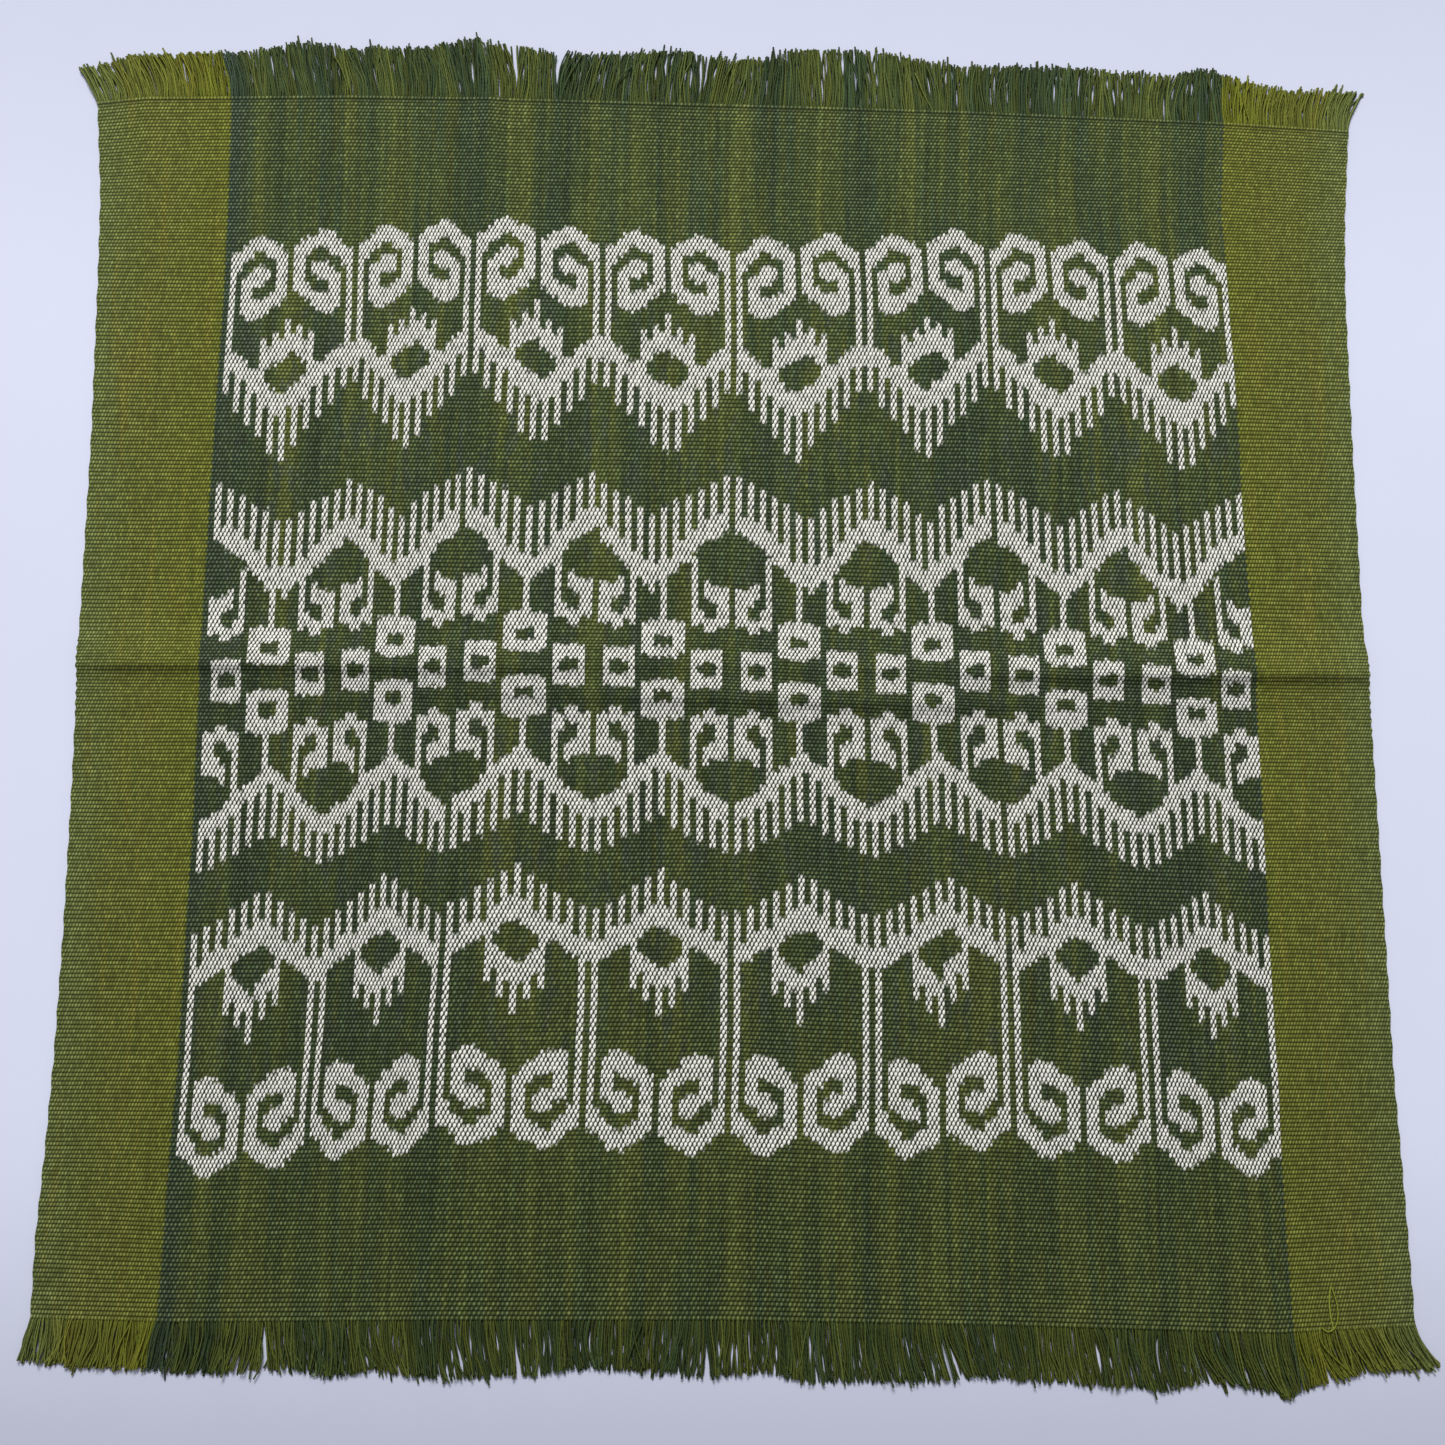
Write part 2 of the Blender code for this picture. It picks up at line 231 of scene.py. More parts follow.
# The outer wave with its eye and crown, towards the far end and towards the near end
FAR_CROWN_CHART = {
    0: ((56.0, 73.2), (82.4, 92.1)),
    1: ((67.9, 73.4), (82.0, 87.0)),
    2: ((58.0, 74.2), (81.2, 89.0)),
    3: ((69.6, 75.8), (79.8, 84.9)),
    4: ((62.5, 87.5),),
    5: ((73.5, 79.4),),
    6: ((65.4, 79.5),),
    7: ((76.2, 81.5),),
    8: ((68.6, 82.8),),
    9: ((79.0, 83.9),),
    10: ((73.0, 100.0),),
}
NEAR_CROWN_CHART = {
    0: ((54.5, 68.0), (78.6, 89.8)),
    1: ((62.7, 68.2), (77.2, 82.0)),
    2: ((56.4, 68.8), (76.0, 85.9)),
    3: ((65.0, 70.6), (74.5, 79.5)),
    4: ((58.5, 82.8),),
    5: ((68.0, 72.1),),
    6: ((60.7, 72.8),),
    7: ((68.3, 73.8),),
    8: ((62.5, 75.0),),
    9: ((71.6, 76.0),),
    10: ((64.0, 105.0),),
}
FAR_BAR = (79.3, 84.8)
NEAR_BAR = (72.0, 77.0)

# The large hooked scroll, in picks outwards from its inner end
SCROLL_CHART = {
    1: ((5.4, 17.8),),
    2: ((3.6, 19.2),),
    3: ((3.0, 7.0), (15.6, 19.8)),
    4: ((1.3, 5.6), (10.0, 13.0), (16.2, 20.5)),
    5: ((0.5, 5.1), (8.6, 13.4), (17.3, 21.6)),
    6: ((0.0, 5.0), (8.8, 13.2), (17.5, 21.5)),
    7: ((0.0, 11.6), (15.6, 21.0)),
    8: ((1.2, 10.6), (14.5, 19.2)),
    9: ((12.3, 17.6),),
    10: ((0.0, 17.0),),
}
OuterChart = namedtuple("OuterChart", "crown bar scroll_start scroll_stretch")
OUTER_CHARTS = {
    "far": OuterChart(FAR_CROWN_CHART, FAR_BAR, 92.7, 1.03),
    "near": OuterChart(NEAR_CROWN_CHART, NEAR_BAR, 97.7, 1.06),
}

# The weave, in ends and picks: how square the floats are, and by how many ends a float leans
# over the length of one pick
FLOAT_SQUARENESS = 1.9
FLOAT_SLANT = 0.26
# Share of the furrow between two picks that is filled where a float leads on to the next, in
# the tight near end and in the far half
NEAR_BRIDGE = 0.48
FAR_BRIDGE = 0.34
# Picks, counted towards the near end, over which the cloth changes into the near end's weave
NEAR_WEAVE_PICKS = (-60.0, 150.0)
# Picks kept clear of the cut edges, where the last row of floats lies
EDGE_PICKS = 0.08
# Picks from the far cut edge to the furrow before the last pick, which is darkened with painted
# shade
LAST_FURROW_PICKS = 1.2
# How unevenly the ties end, and the least dyed gap between two white spans, in picks
CHART_SEED = 5
CHART_JITTER = 0.3
LEAST_GAP = 1.0

# Clouds in the dye and the yarn: how fast they change from end to end and from pick to pick,
# and how fine they are
Cloud = namedtuple("Cloud", "ends picks detail")
BROAD_TONE = Cloud(0.045, 0.007, 2.0)
STREAK_TONE = Cloud(0.24, 0.022, 3.0)
SINGLE_TONE = Cloud(1.1, 0.05, 1.0)
GREY_PATCH = Cloud(0.16, 0.09, 3.0)
STREAK_DEPTH = Cloud(0.55, 0.018, 3.0)
SIDE_TONE = Cloud(0.12, 0.02, 3.0)
FLOAT_BREADTH = Cloud(0.35, 0.5, 1.0)
DYE_CREEP = Cloud(0.9, 0.16, 1.0)
WEFT_SLUB = Cloud(0.05, 0.8, 1.0)
FIBRE = Cloud(9.0, 2.4, 2.0)
CLOUD_ROUGHNESS = 0.55

# Slow strays of the yarn from its even place, and the cloth's unevenness: how fast they change
# along x and y, in 1/mm, their place in the noise and their strength
Stray = namedtuple("Stray", "x y place strength")
WARP_STRAYS = (Stray(0.035, 0.022, 3.1, 1.0), Stray(0.11, 0.05, 7.7, 0.5))
WEFT_STRAYS = (Stray(0.018, 0.05, 11.3, 1.0), Stray(0.05, 0.11, 1.9, 0.6))
RIPPLE_STRAYS = (Stray(0.012, 0.016, 5.0, 0.5),)
# Ends and picks from the cloth's edges over which the strays grow to their full size
STRAY_FADE_ENDS = 40.0
STRAY_FADE_PICKS = 12.0
# How fast the turns of the weft wave the selvedge, in radians a pick
TURN_RATE = 2.3

# The fringes, in mm: the clumps between splits, with the lean of their first and last end
Clump = namedtuple("Clump", "start end lean_start lean_end")
FAR_CLUMPS = (
    Clump(-235.5, -185.0, -7.5, -4.2),
    Clump(-185.0, -78.0, -4.2, -3.4),
    Clump(-78.0, -63.0, 0.3, -0.4),
    Clump(-63.0, -8.5, 3.8, 1.2),
    Clump(-8.5, 15.0, 4.2, 1.6),
    Clump(15.0, 38.0, 2.0, -0.8),
    Clump(38.0, 57.5, 0.2, -2.0),
    Clump(57.5, 80.5, 0.2, -2.8),
    Clump(80.5, 99.5, 0.0, -0.8),
    Clump(99.5, 205.0, 0.6, 1.8),
    Clump(205.0, 235.5, 1.8, 5.6),
)
NEAR_CLUMPS = (
    Clump(-235.5, -185.0, -2.8, -3.6),
    Clump(-185.0, -156.0, -3.4, -1.4),
    Clump(-156.0, -87.0, 1.6, 2.8),
    Clump(-87.0, -5.6, 2.8, -2.0),
    Clump(-5.6, 3.6, 1.2, -0.6),
    Clump(3.6, 31.7, 1.6, 0.4),
    Clump(31.7, 73.8, 2.6, 2.8),
    Clump(73.8, 116.0, 4.8, 2.2),
    Clump(116.0, 160.4, 3.6, 2.6),
    Clump(160.4, 202.0, 6.4, 4.0),
    Clump(202.0, 235.5, 5.0, 7.6),
)

# How far the loose ends reach past the cut edge
Reach = namedtuple("Reach", "x length")
FAR_REACH = (
    Reach(-235.5, 13.4), Reach(-213.0, 16.9), Reach(-180.0, 17.4), Reach(-152.0, 21.4),
    Reach(-137.0, 18.6), Reach(-107.0, 19.5), Reach(-92.0, 23.6), Reach(-77.0, 20.3),
    Reach(-62.0, 18.0), Reach(-16.0, 20.5), Reach(0.0, 17.7), Reach(14.0, 18.5),
    Reach(30.0, 23.0), Reach(60.0, 22.5), Reach(90.0, 17.5), Reach(135.0, 19.0),
    Reach(165.0, 17.0), Reach(180.0, 20.8), Reach(210.0, 13.4), Reach(235.5, 14.6),
)
NEAR_REACH = (
    Reach(-235.5, 13.5), Reach(-218.0, 15.2), Reach(-191.0, 15.4), Reach(-176.0, 17.0),
    Reach(-150.0, 15.2), Reach(-136.0, 18.0), Reach(-120.0, 16.0), Reach(-96.0, 19.2),
    Reach(-42.0, 15.8), Reach(0.0, 18.3), Reach(13.0, 16.2), Reach(28.0, 19.6),
    Reach(67.0, 18.5), Reach(80.0, 16.6), Reach(148.0, 19.8), Reach(162.0, 16.4),
    Reach(188.0, 20.8), Reach(204.0, 15.4), Reach(216.0, 13.4), Reach(235.5, 13.6),
)
FRINGE_SEEDS = {"far": 21, "near": 22}
LEAN_POWER = 1.5
# Length of a loose end over which its dye runs on by one pick
LOOSE_PICK_LENGTH = 1.43
STRAND_SIDES = 4
STRAND_RINGS = 10
# Layers that the loose ends lie in: how far under the cloth's upper side they leave it, their
# height at the tip, and how much of the light gets down to them
Layer = namedtuple("Layer", "depth tip light")
UPPER_LAYER = Layer(0.1, 1.2, 1.0)
MIDDLE_LAYER = Layer(0.3, 0.95, 0.9)
LOWER_LAYERS = (Layer(0.6, 0.4, 0.62), Layer(0.5, 0.65, 0.76))
CROSSING_LAYER = Layer(0.1, 1.75, 1.05)
# Share of the upper ends' sway that the lower ends take part in
LOWER_SWAY = 0.35
# Places in the noise of the lean, the length and the bow that neighbouring ends share
LEAN_SWAY = 1.7
LENGTH_SWAY = 6.1
BOW_SWAY = 9.4
# How far the crossing ends lean over the others, and their share of the others' length
CROSSING_LEAN = (2.0, 5.0)
CROSSING_LENGTH = (0.7, 1.0)
# How far inside the cut edge a loose end comes up, and how deep in the cloth it starts
ROOT_INSET = (1.0, 2.0)
ROOT_DIP = 0.38
LONG_END_SHARE = 0.03
LONG_END_EXTRA = (1.2, 3.4)

# Loops of yarn: one at the tips of the near fringe, and one pulled out of the last picks, with
# its other end. Each point is x and how far past the near cut edge
Spot = namedtuple("Spot", "x out")
TIP_LOOP = (
    Spot(-139.4, 11.0), Spot(-139.6, 14.6), Spot(-139.3, 17.4), Spot(-138.6, 18.4),
    Spot(-137.9, 17.6), Spot(-137.8, 15.4), Spot(-138.2, 12.4),
)
PULLED_LOOP = (
    Spot(207.3, -14.6), Spot(208.3, -11.8), Spot(209.4, -7.6), Spot(209.1, -3.4),
    Spot(207.9, -0.8), Spot(206.2, 0.5), Spot(204.7, 0.2), Spot(203.5, -1.0),
)
PULLED_END = (
    Spot(207.2, -14.4), Spot(206.5, -10.6), Spot(206.5, -6.8), Spot(206.9, -3.2),
    Spot(207.6, -0.4),
)
LOOP_RADIUS = 0.27
LOOP_LIGHT = 1.7
TIP_LOOP_HEIGHT = 0.8
PULLED_LOOP_HEIGHT = 0.6
PULLED_END_DROP = 0.15

# The stage, in metres
FLOOR_HALF_SIDE = 2.5
LAMP_SIDES = (2.0, 1.4)
LAMP_PLACE = (-0.3, 3.6, 3.0)
CAMERA_BACK = 0.080

# Kinds of socket
NUMBER = "NodeSocketFloat"
COLOUR = "NodeSocketColor"


def paint(red, green, blue):
    """Linear colour of a display colour given from 0 to 255."""
    linear = []
    for value in (red, green, blue):
        share = value / 255.0
        if share <= 0.04045:
            linear.append(share / 12.92)
        else:
            linear.append(((share + 0.055) / 1.055) ** 2.4)
    return tuple(linear)


@lru_cache(maxsize=None)
def table_column(table, name):
    return np.array([getattr(row, name) for row in table])


def read_table(table, key, column, position):
    """Value of one named column where the key column has the given position."""
    return float(np.interp(position, table_column(table, key), table_column(table, column)))


def mat_shift():
    """Shift from the tables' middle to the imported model's, in mm, from the cloth's own box."""
    low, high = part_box("cloth")
    near = CLOTH_NEAR_END + min(row.near for row in BOWS)
    far = CLOTH_FAR_END + max(row.far for row in BOWS)
    shift_x = 0.5 * (low[0] + high[0]) / MM - 0.5 * (STATIONS[0].left + STATIONS[0].right)
    shift_y = 0.5 * (low[1] + high[1]) / MM - 0.5 * (near + far)
    return shift_x, shift_y


SHIFT_X, SHIFT_Y = mat_shift()


def size_setting(name, description, default, high, low=0.0):
    """A size in metres that a user can change."""
    return FloatProperty(name=name, description=description, default=default,
                         min=low, max=high, unit="LENGTH")


def colour_setting(name, description, *display):
    """A colour that a user can change, given as a display colour from 0 to 255."""
    return FloatVectorProperty(name=name, description=description, default=paint(*display),
                               size=3, subtype="COLOR", min=0.0, max=1.0)


class MatSizes(bpy.types.PropertyGroup):
    """Sizes of the cloth and its yarn."""

    thickness: size_setting("Thickness", "Thickness of the woven sheet",
                            0.0014, 0.003, low=0.0005)
    wander: size_setting("Warp wander", "How far the warp ends stray sideways",
                         0.00045, 0.002)
    weft_wander: size_setting("Weft wander", "How far the picks stray up and down",
                              0.00035, 0.002)
    turns: size_setting("Weft turns", "How far the selvedges wave in and out",
                        0.00024, 0.001)
    ripple: size_setting("Ripple", "Height of the slight unevenness of the lying cloth",
                         0.0003, 0.002)
    relief: size_setting("Thread relief", "Depth between the crown of a thread and its edge",
                         0.00022, 0.001)
    float_width: FloatProperty(
        name="Float width", description="Half width of a warp float, in ends",
        default=0.66, min=0.4, max=1.0)
    float_length: FloatProperty(
        name="Float length", description="Half length of a warp float, in picks",
        default=0.63, min=0.4, max=1.0)


class DyeColours(bpy.types.PropertyGroup):
    """Colours of the yarns."""

    resist: colour_setting("Undyed", "Warp kept undyed under the ties", 241, 239, 229)
    lilac: colour_setting("Grey dye", "Grey-blue patches beside the tied places", 60, 69, 62)
    blue_green: colour_setting("Blue-green dye", "Cool streaks of the panel", 57, 74, 48)
    green: colour_setting("Green dye", "Main colour of the panel", 67, 79, 41)
    olive: colour_setting("Olive dye", "Warm streaks of the panel", 80, 87, 38)
    side: colour_setting("Side olive", "Middle of the plain sides", 98, 103, 39)
    side_inner: colour_setting("Side yellow-green", "Plain sides next to the panel",
                               100, 105, 31)
    side_outer: colour_setting("Side grey-green", "Plain sides at the selvedge", 97, 107, 56)
    side_rust: colour_setting("Side rust", "Warm streaks of the plain sides", 118, 112, 38)
    margin: colour_setting("Panel margin", "Dark ends of the panel beside the plain sides",
                           52, 68, 54)
    # Painted highlight: pale colour blended onto the crowns of the dyed floats
    crown_highlight: colour_setting("Painted crown highlight", "Pale crowns of the dyed floats", 146, 152, 118)
    weft_panel: colour_setting("Weft in the panel", "Weft between the floats of the panel",
                               46, 56, 32)
    weft_side: colour_setting("Weft in the sides", "Weft between the floats of the sides",
                              75, 79, 26)
    weft_white: colour_setting("Weft in the white", "Weft between the undyed floats",
                               50, 58, 42)


class FringeSizes(bpy.types.PropertyGroup):
    """Sizes of the loose warp ends."""

    radius: size_setting("Yarn radius", "Radius of one loose warp end",
                         0.00033, 0.001, low=0.0001)
    length_jitter: size_setting("Uneven ends", "How unevenly the ends were cut",
                                0.0011, 0.005)
    lean_jitter: size_setting("Stray", "How far single ends stray sideways", 0.0009, 0.005)
    sway: size_setting("Sway", "How far neighbouring ends bend together into locks",
                       0.0019, 0.005)
    sway_width: size_setting("Sway width", "Width of a lock of ends that bend together",
                             0.0095, 0.05, low=0.002)
    strays: IntProperty(
        name="Crossing ends", description="Ends that lie across the others",
        default=8, min=0, max=60)


class StageSettings(bpy.types.PropertyGroup):
    """The surface, the light and the camera."""

    floor: colour_setting("Surface colour", "Pale surface under the mat", 216, 220, 239)
    key_power: FloatProperty(
        name="Key light", description="Power of the large soft light beyond the far side",
        default=262.0, min=0.0, max=2000.0, unit="POWER")
    fill: FloatProperty(
        name="Fill light", description="Strength of the even light from all round",
        default=0.31, min=0.0, max=5.0)
    camera_height: size_setting("Camera height", "Height of the camera above the cloth",
                                0.5124, 5.0, low=0.1)
    camera_tilt: FloatProperty(
        name="Camera tilt", description="Angle of the view from straight down",
        default=math.radians(6.9), min=0.0, max=1.5, subtype="ANGLE")


def bell(distance, half_width):
    return math.exp(-(distance / half_width) ** 2)


def fold_height(x, y):
    """Height of the opened-out fold's two ridges, steeper on the side towards the viewer."""
    height = 0.0
    drop_width = read_table(FOLDS, "x", "drop_width", x)
    for line, rise in (("first_y", "first_height"), ("second_y", "second_height")):
        distance = y - read_table(FOLDS, "x", line, x)
        if distance > 0.0:
            share = bell(distance, FOLD_FAR_HALF_WIDTH)
        else:
            share = FOLD_DROP_SHARE * bell(distance, drop_width)
            share += (1.0 - FOLD_DROP_SHARE) * bell(distance, FOLD_NEAR_HALF_WIDTH)
        height += read_table(FOLDS, "x", rise, x) * share
    return height


def crease_height(x, y):
    height = 0.0
    for crease in CREASES:
        along = (y - crease.near_y) / (crease.far_y - crease.near_y)
        line_x = crease.near_x + (crease.far_x - crease.near_x) * along
        past_end = max(crease.near_y - y, y - crease.far_y, 0.0)
        fade = max(0.0, 1.0 - past_end / CREASE_END_FADE)
        height += crease.height * fade * bell(x - line_x, CREASE_HALF_WIDTH)
    return height


def stray_at(strays, x, y):
    return sum(stray.strength * noise.noise(Vector((x * stray.x, y * stray.y, stray.place)))
               for stray in strays)


def top_height(x, y, sizes):
    """Height of the cloth's upper side above the surface it lies on, in mm."""
    ripple = 0.5 + stray_at(RIPPLE_STRAYS, x, y)
    height = fold_height(x, y) + crease_height(x, y) + ripple * sizes.ripple / MM
    return height + sizes.thickness / MM


def end_knots():
    """Warp ends at which the cloth's density changes: selvedges, panel sides and repeats."""
    half_column = 0.5 * ENDS_PER_COLUMN
    gaps = [FIRST_STEM_END + REPEAT_ENDS * index - half_column for index in range(1, REPEATS)]
    first_stem = FIRST_STEM_END + half_column
    last_stem = RIGHT_MARGIN_START - half_column
    return [0.0, SIDE_ENDS, first_stem] + gaps + [last_stem, PANEL_END, ALL_ENDS]


END_KNOTS = np.array(end_knots())


def knot_places(y, fraction):
    """x of those warp ends on a row of the mat."""
    left, panel_left, panel_right, right = (
        read_table(STATIONS, "fraction", name, fraction) for name in Station._fields[1:])
    first = panel_left + LEFT_STEM_INSET
    last = panel_right - RIGHT_STEM_INSET
    starts = [float(np.interp(y, REPEAT_YS, shares)) for shares in zip(
        NEAR_REPEAT_STARTS, MIDDLE_REPEAT_STARTS, FAR_REPEAT_STARTS)]
    stems = [first + (last - first) * start for start in starts]
    return [left, panel_left] + stems + [panel_right, right]


def row_y(pick):
    return read_table(PICK_ROWS, "pick", "y", pick)


def bowed(x, y, fraction):
    """y of a row's point once the bow of the rows is added."""
    bows = [read_table(BOWS, "x", name, x) for name in Bow._fields[1:]]
    return y + float(np.interp(fraction, BOW_FRACTIONS, bows))


def grid_ends():
    """Warp ends at which the cloth's grid has its columns."""
    left = list(range(0, SIDE_ENDS, ENDS_PER_COLUMN))
    panel = [SIDE_ENDS] + list(range(FIRST_STEM_END, RIGHT_MARGIN_START + 1, ENDS_PER_COLUMN))
    right = list(range(PANEL_END, ALL_ENDS, ENDS_PER_COLUMN))
    return left + panel + right + [ALL_ENDS]


def grid_picks():
    """Picks at which the cloth's grid has its rows, closer in the fold."""
    near = list(range(NEAR_PICK, FOLD_FIRST_PICK, PICKS_PER_ROW))
    fold_rows = (FOLD_LAST_PICK - FOLD_FIRST_PICK) * ROWS_PER_PICK_IN_FOLD
    fold = [FOLD_FIRST_PICK + index / ROWS_PER_PICK_IN_FOLD for index in range(fold_rows)]
    far = list(range(FOLD_LAST_PICK, FAR_PICK + 1, PICKS_PER_ROW))
    return near + fold + far


def spread_out(pick, spread):
    return pick + spread * min(1.0, max(0.0, pick / FULL_SPREAD_PICK))


def chart_spans(repeat, column):
    """White spans of one column of one repeat, as signed picks from the mat's middle."""
    from_stem = column - COLUMNS_PER_REPEAT // 2 + 1
    distance = abs(from_stem)
    gap_column = column == COLUMNS_PER_REPEAT - 1
    joined = repeat in JOINED_REPEATS
    spans = []
    side = "left" if from_stem <= 0 else "right"
    slip = SLIPS[repeat]
    middle_slip = getattr(slip, "middle_" + side)
    square_slip = 0.5 * (slip.middle_left + slip.middle_right)
    for outwards, end in ((1, "far"), (-1, "near")):
        chart = OUTER_CHARTS[end]
        middle = []
        outer = []
        if not gap_column:
            middle += MIDDLE_CHART.get(distance, ())
            outer += chart.crown[distance]
            outer += [tuple(chart.scroll_start + pick * chart.scroll_stretch for pick in span)
                      for span in SCROLL_CHART.get(distance, ())]
        elif joined:
            outer.append(chart.bar)
        if not gap_column or joined:
            offset = FAR_POINT_OFFSETS[repeat] if end == "far" else 0
            wave = MIDDLE_WAVE[abs(from_stem - offset)]
            change = NEAR_WAVE_CHANGE if end == "near" else Wave(0.0, 0.0)
            middle.append((wave.inner + change.inner, wave.outer + change.outer))
        if end == "near":
            middle = [tuple(read_table(NEAR_PICKS, "charted", "woven", pick) for pick in span)
                      for span in middle]
        outer_slip = getattr(slip, f"{end}_{side}")
        for low, high in middle:
            whole = distance <= WHOLE_SQUARE_COLUMNS and high <= WHOLE_SQUARE_PICKS
            moved = square_slip if whole else middle_slip
            spans.append(sorted(outwards * spread_out(pick, slip.spread) - moved
                                for pick in (low, high)))
        for low, high in outer:
            spans.append(sorted((outwards * low - outer_slip, outwards * high - outer_slip)))
    return spans


def joined_spans(spans):
    """The same white spans in order, with those that touch made one."""
    merged = []
    for low, high in sorted(spans):
        if merged and low <= merged[-1][1] + LEAST_GAP:
            merged[-1][1] = max(merged[-1][1], high)
        else:
            merged.append([low, high])
    return merged


def stretch_at(spans, pick):
    """Ends of the white or dyed stretch of warp that holds a pick, and 1 for a white one."""
    before = 2.0 * NEAR_PICK
    for low, high in spans:
        if pick < low:
            return before, low, -1.0
        if pick <= high:
            return low, high, 1.0
        before = high
    return before, 2.0 * FAR_PICK, -1.0


def panel_spans():
    """White spans of every column of the panel, with the unevenness of hand-tied resist."""
    chance = random.Random(CHART_SEED)
    columns = []
    for index in range(PANEL_COLUMNS):
        repeat, column = divmod(index, COLUMNS_PER_REPEAT)
        spans = chart_spans(repeat, column)
        columns.append([tuple(pick + chance.uniform(-CHART_JITTER, CHART_JITTER)
                              for pick in span) for span in joined_spans(spans)])
    return columns


@lru_cache(maxsize=None)
def row_place(pick):
    """y of a pick's row, its share of the way to the far end, and its knots' x."""
    y = row_y(pick)
    fraction = (y - CLOTH_NEAR_END) / (CLOTH_FAR_END - CLOTH_NEAR_END)
    return y, fraction, np.array(knot_places(y, fraction))


def cloth_point(end, pick, sizes):
    """Place of a warp end and pick on the finished top side, in metres."""
    y, fraction, knots = row_place(pick)
    x = float(np.interp(end, END_KNOTS, knots))
    y = bowed(x, y, fraction)
    inside = min(end, ALL_ENDS - end, STRAY_FADE_ENDS) / STRAY_FADE_ENDS
    between = min(pick - NEAR_PICK, FAR_PICK - pick, STRAY_FADE_PICKS) / STRAY_FADE_PICKS
    stray = stray_at(WARP_STRAYS, x, y)
    sag = stray_at(WEFT_STRAYS, x, y)
    x += stray * sizes.wander / MM * inside
    if end in (0, ALL_ENDS):
        x += sizes.turns / MM * math.sin(TURN_RATE * pick)
    y += sag * sizes.weft_wander / MM * between
    return Vector(((x + SHIFT_X) * MM, (y + SHIFT_Y) * MM, top_height(x, y, sizes) * MM))


class Value:
    """What a node puts out. A sum written with it adds Math nodes to the graph."""

    def __init__(self, graph, socket):
        self.graph = graph
        self.socket = socket

    def __add__(self, other):
        return self.graph.math("ADD", self, other)

    def __sub__(self, other):
        return self.graph.math("SUBTRACT", self, other)

    def __rsub__(self, other):
        return self.graph.math("SUBTRACT", other, self)

    def __mul__(self, other):
        return self.graph.math("MULTIPLY", self, other)

    def __truediv__(self, other):
        return self.graph.math("DIVIDE", self, other)

    def __pow__(self, power):
        return self.graph.math("POWER", self, power)

    def __abs__(self):
        return self.graph.math("ABSOLUTE", self)


class Graph:
    """Places nodes in a tree and links them by the values they are given."""

    def __init__(self, tree):
        self.tree = tree

    def node(self, kind, **settings):
        made = self.tree.nodes.new(kind)
        for name, value in settings.items():
            setattr(made, name, value)
        return made

    def feed(self, socket, value):
        if isinstance(value, Value):
            self.tree.links.new(value.socket, socket)
        elif socket.type == "RGBA":
            socket.default_value = (*value[:3], 1.0)
        else:
            socket.default_value = value

    def values(self, node):
        """What a node puts out, by name."""
        return {socket.name: Value(self, socket) for socket in node.outputs}

    def math(self, operation, *values, clamp=False):
        made = self.node("ShaderNodeMath", operation=operation, use_clamp=clamp)
        for socket, value in zip(made.inputs, values):
            self.feed(socket, value)
        return Value(self, made.outputs[0])

    def blend(self, share, first, second, mode="MIX"):
        """Mixes two colours."""
        made = self.node("ShaderNodeMix", data_type="RGBA", blend_type=mode)
        self.feed(made.inputs["Factor"], share)
        self.feed(made.inputs[6], first)
        self.feed(made.inputs[7], second)
        return Value(self, made.outputs[2])

    def between(self, share, first, second):
        """Mixes two numbers."""
        made = self.node("ShaderNodeMix", data_type="FLOAT")
        self.feed(made.inputs["Factor"], share)
        self.feed(made.inputs[2], first)
        self.feed(made.inputs[3], second)
        return Value(self, made.outputs[0])

    def darken(self, colour, shade):
        """Colour times a number."""
        grey = self.node("ShaderNodeCombineColor")
        for socket in grey.inputs:
            self.feed(socket, shade)
        return self.blend(1.0, colour, Value(self, grey.outputs[0]), mode="MULTIPLY")

    def soften(self, value, low, high):
        """0 below low, 1 above high and smooth between."""
        made = self.node("ShaderNodeMapRange", interpolation_type="SMOOTHSTEP")
        self.feed(made.inputs["Value"], value)
        made.inputs["From Min"].default_value = low
        made.inputs["From Max"].default_value = high
        return Value(self, made.outputs["Result"])

    def pair(self, first, second):
        made = self.node("ShaderNodeCombineXYZ")
        self.feed(made.inputs[0], first)
        self.feed(made.inputs[1], second)
        return Value(self, made.outputs[0])

    def split(self, vector):
        made = self.node("ShaderNodeSeparateXYZ")
        self.feed(made.inputs[0], vector)
        return [Value(self, socket) for socket in made.outputs]

    def attribute(self, name):
        return self.values(self.node("ShaderNodeAttribute", attribute_name=name))["Fac"]

    def cloud(self, end, pick, cloud):
        """Smooth noise from about 0.3 to 0.7 over the weave."""
        made = self.node("ShaderNodeTexNoise", noise_dimensions="2D")
        self.feed(made.inputs["Vector"], self.pair(end * cloud.ends, pick * cloud.picks))
        made.inputs["Scale"].default_value = 1.0
        made.inputs["Detail"].default_value = cloud.detail
        made.inputs["Roughness"].default_value = CLOUD_ROUGHNESS
        return self.values(made)["Fac"]

    def dice(self, first, second):
        """One random number for each pair of numbers."""
        made = self.node("ShaderNodeTexWhiteNoise", noise_dimensions="2D")
        self.feed(made.inputs["Vector"], self.pair(first, second))
        return self.values(made)["Value"]

    def group(self, tree, **values):
        """Places a node group and gives what it puts out, by name."""
        made = self.node("ShaderNodeGroup", node_tree=tree)
        for socket, value in values.items():
            self.feed(made.inputs[socket.replace("_", " ")], value)
        return self.values(made)

    def bump(self, shader, height, strength, distance):
        made = self.node("ShaderNodeBump")
        made.inputs["Strength"].default_value = strength
        made.inputs["Distance"].default_value = distance
        self.feed(made.inputs["Height"], height)
        self.feed(shader.inputs["Normal"], self.values(made)["Normal"])


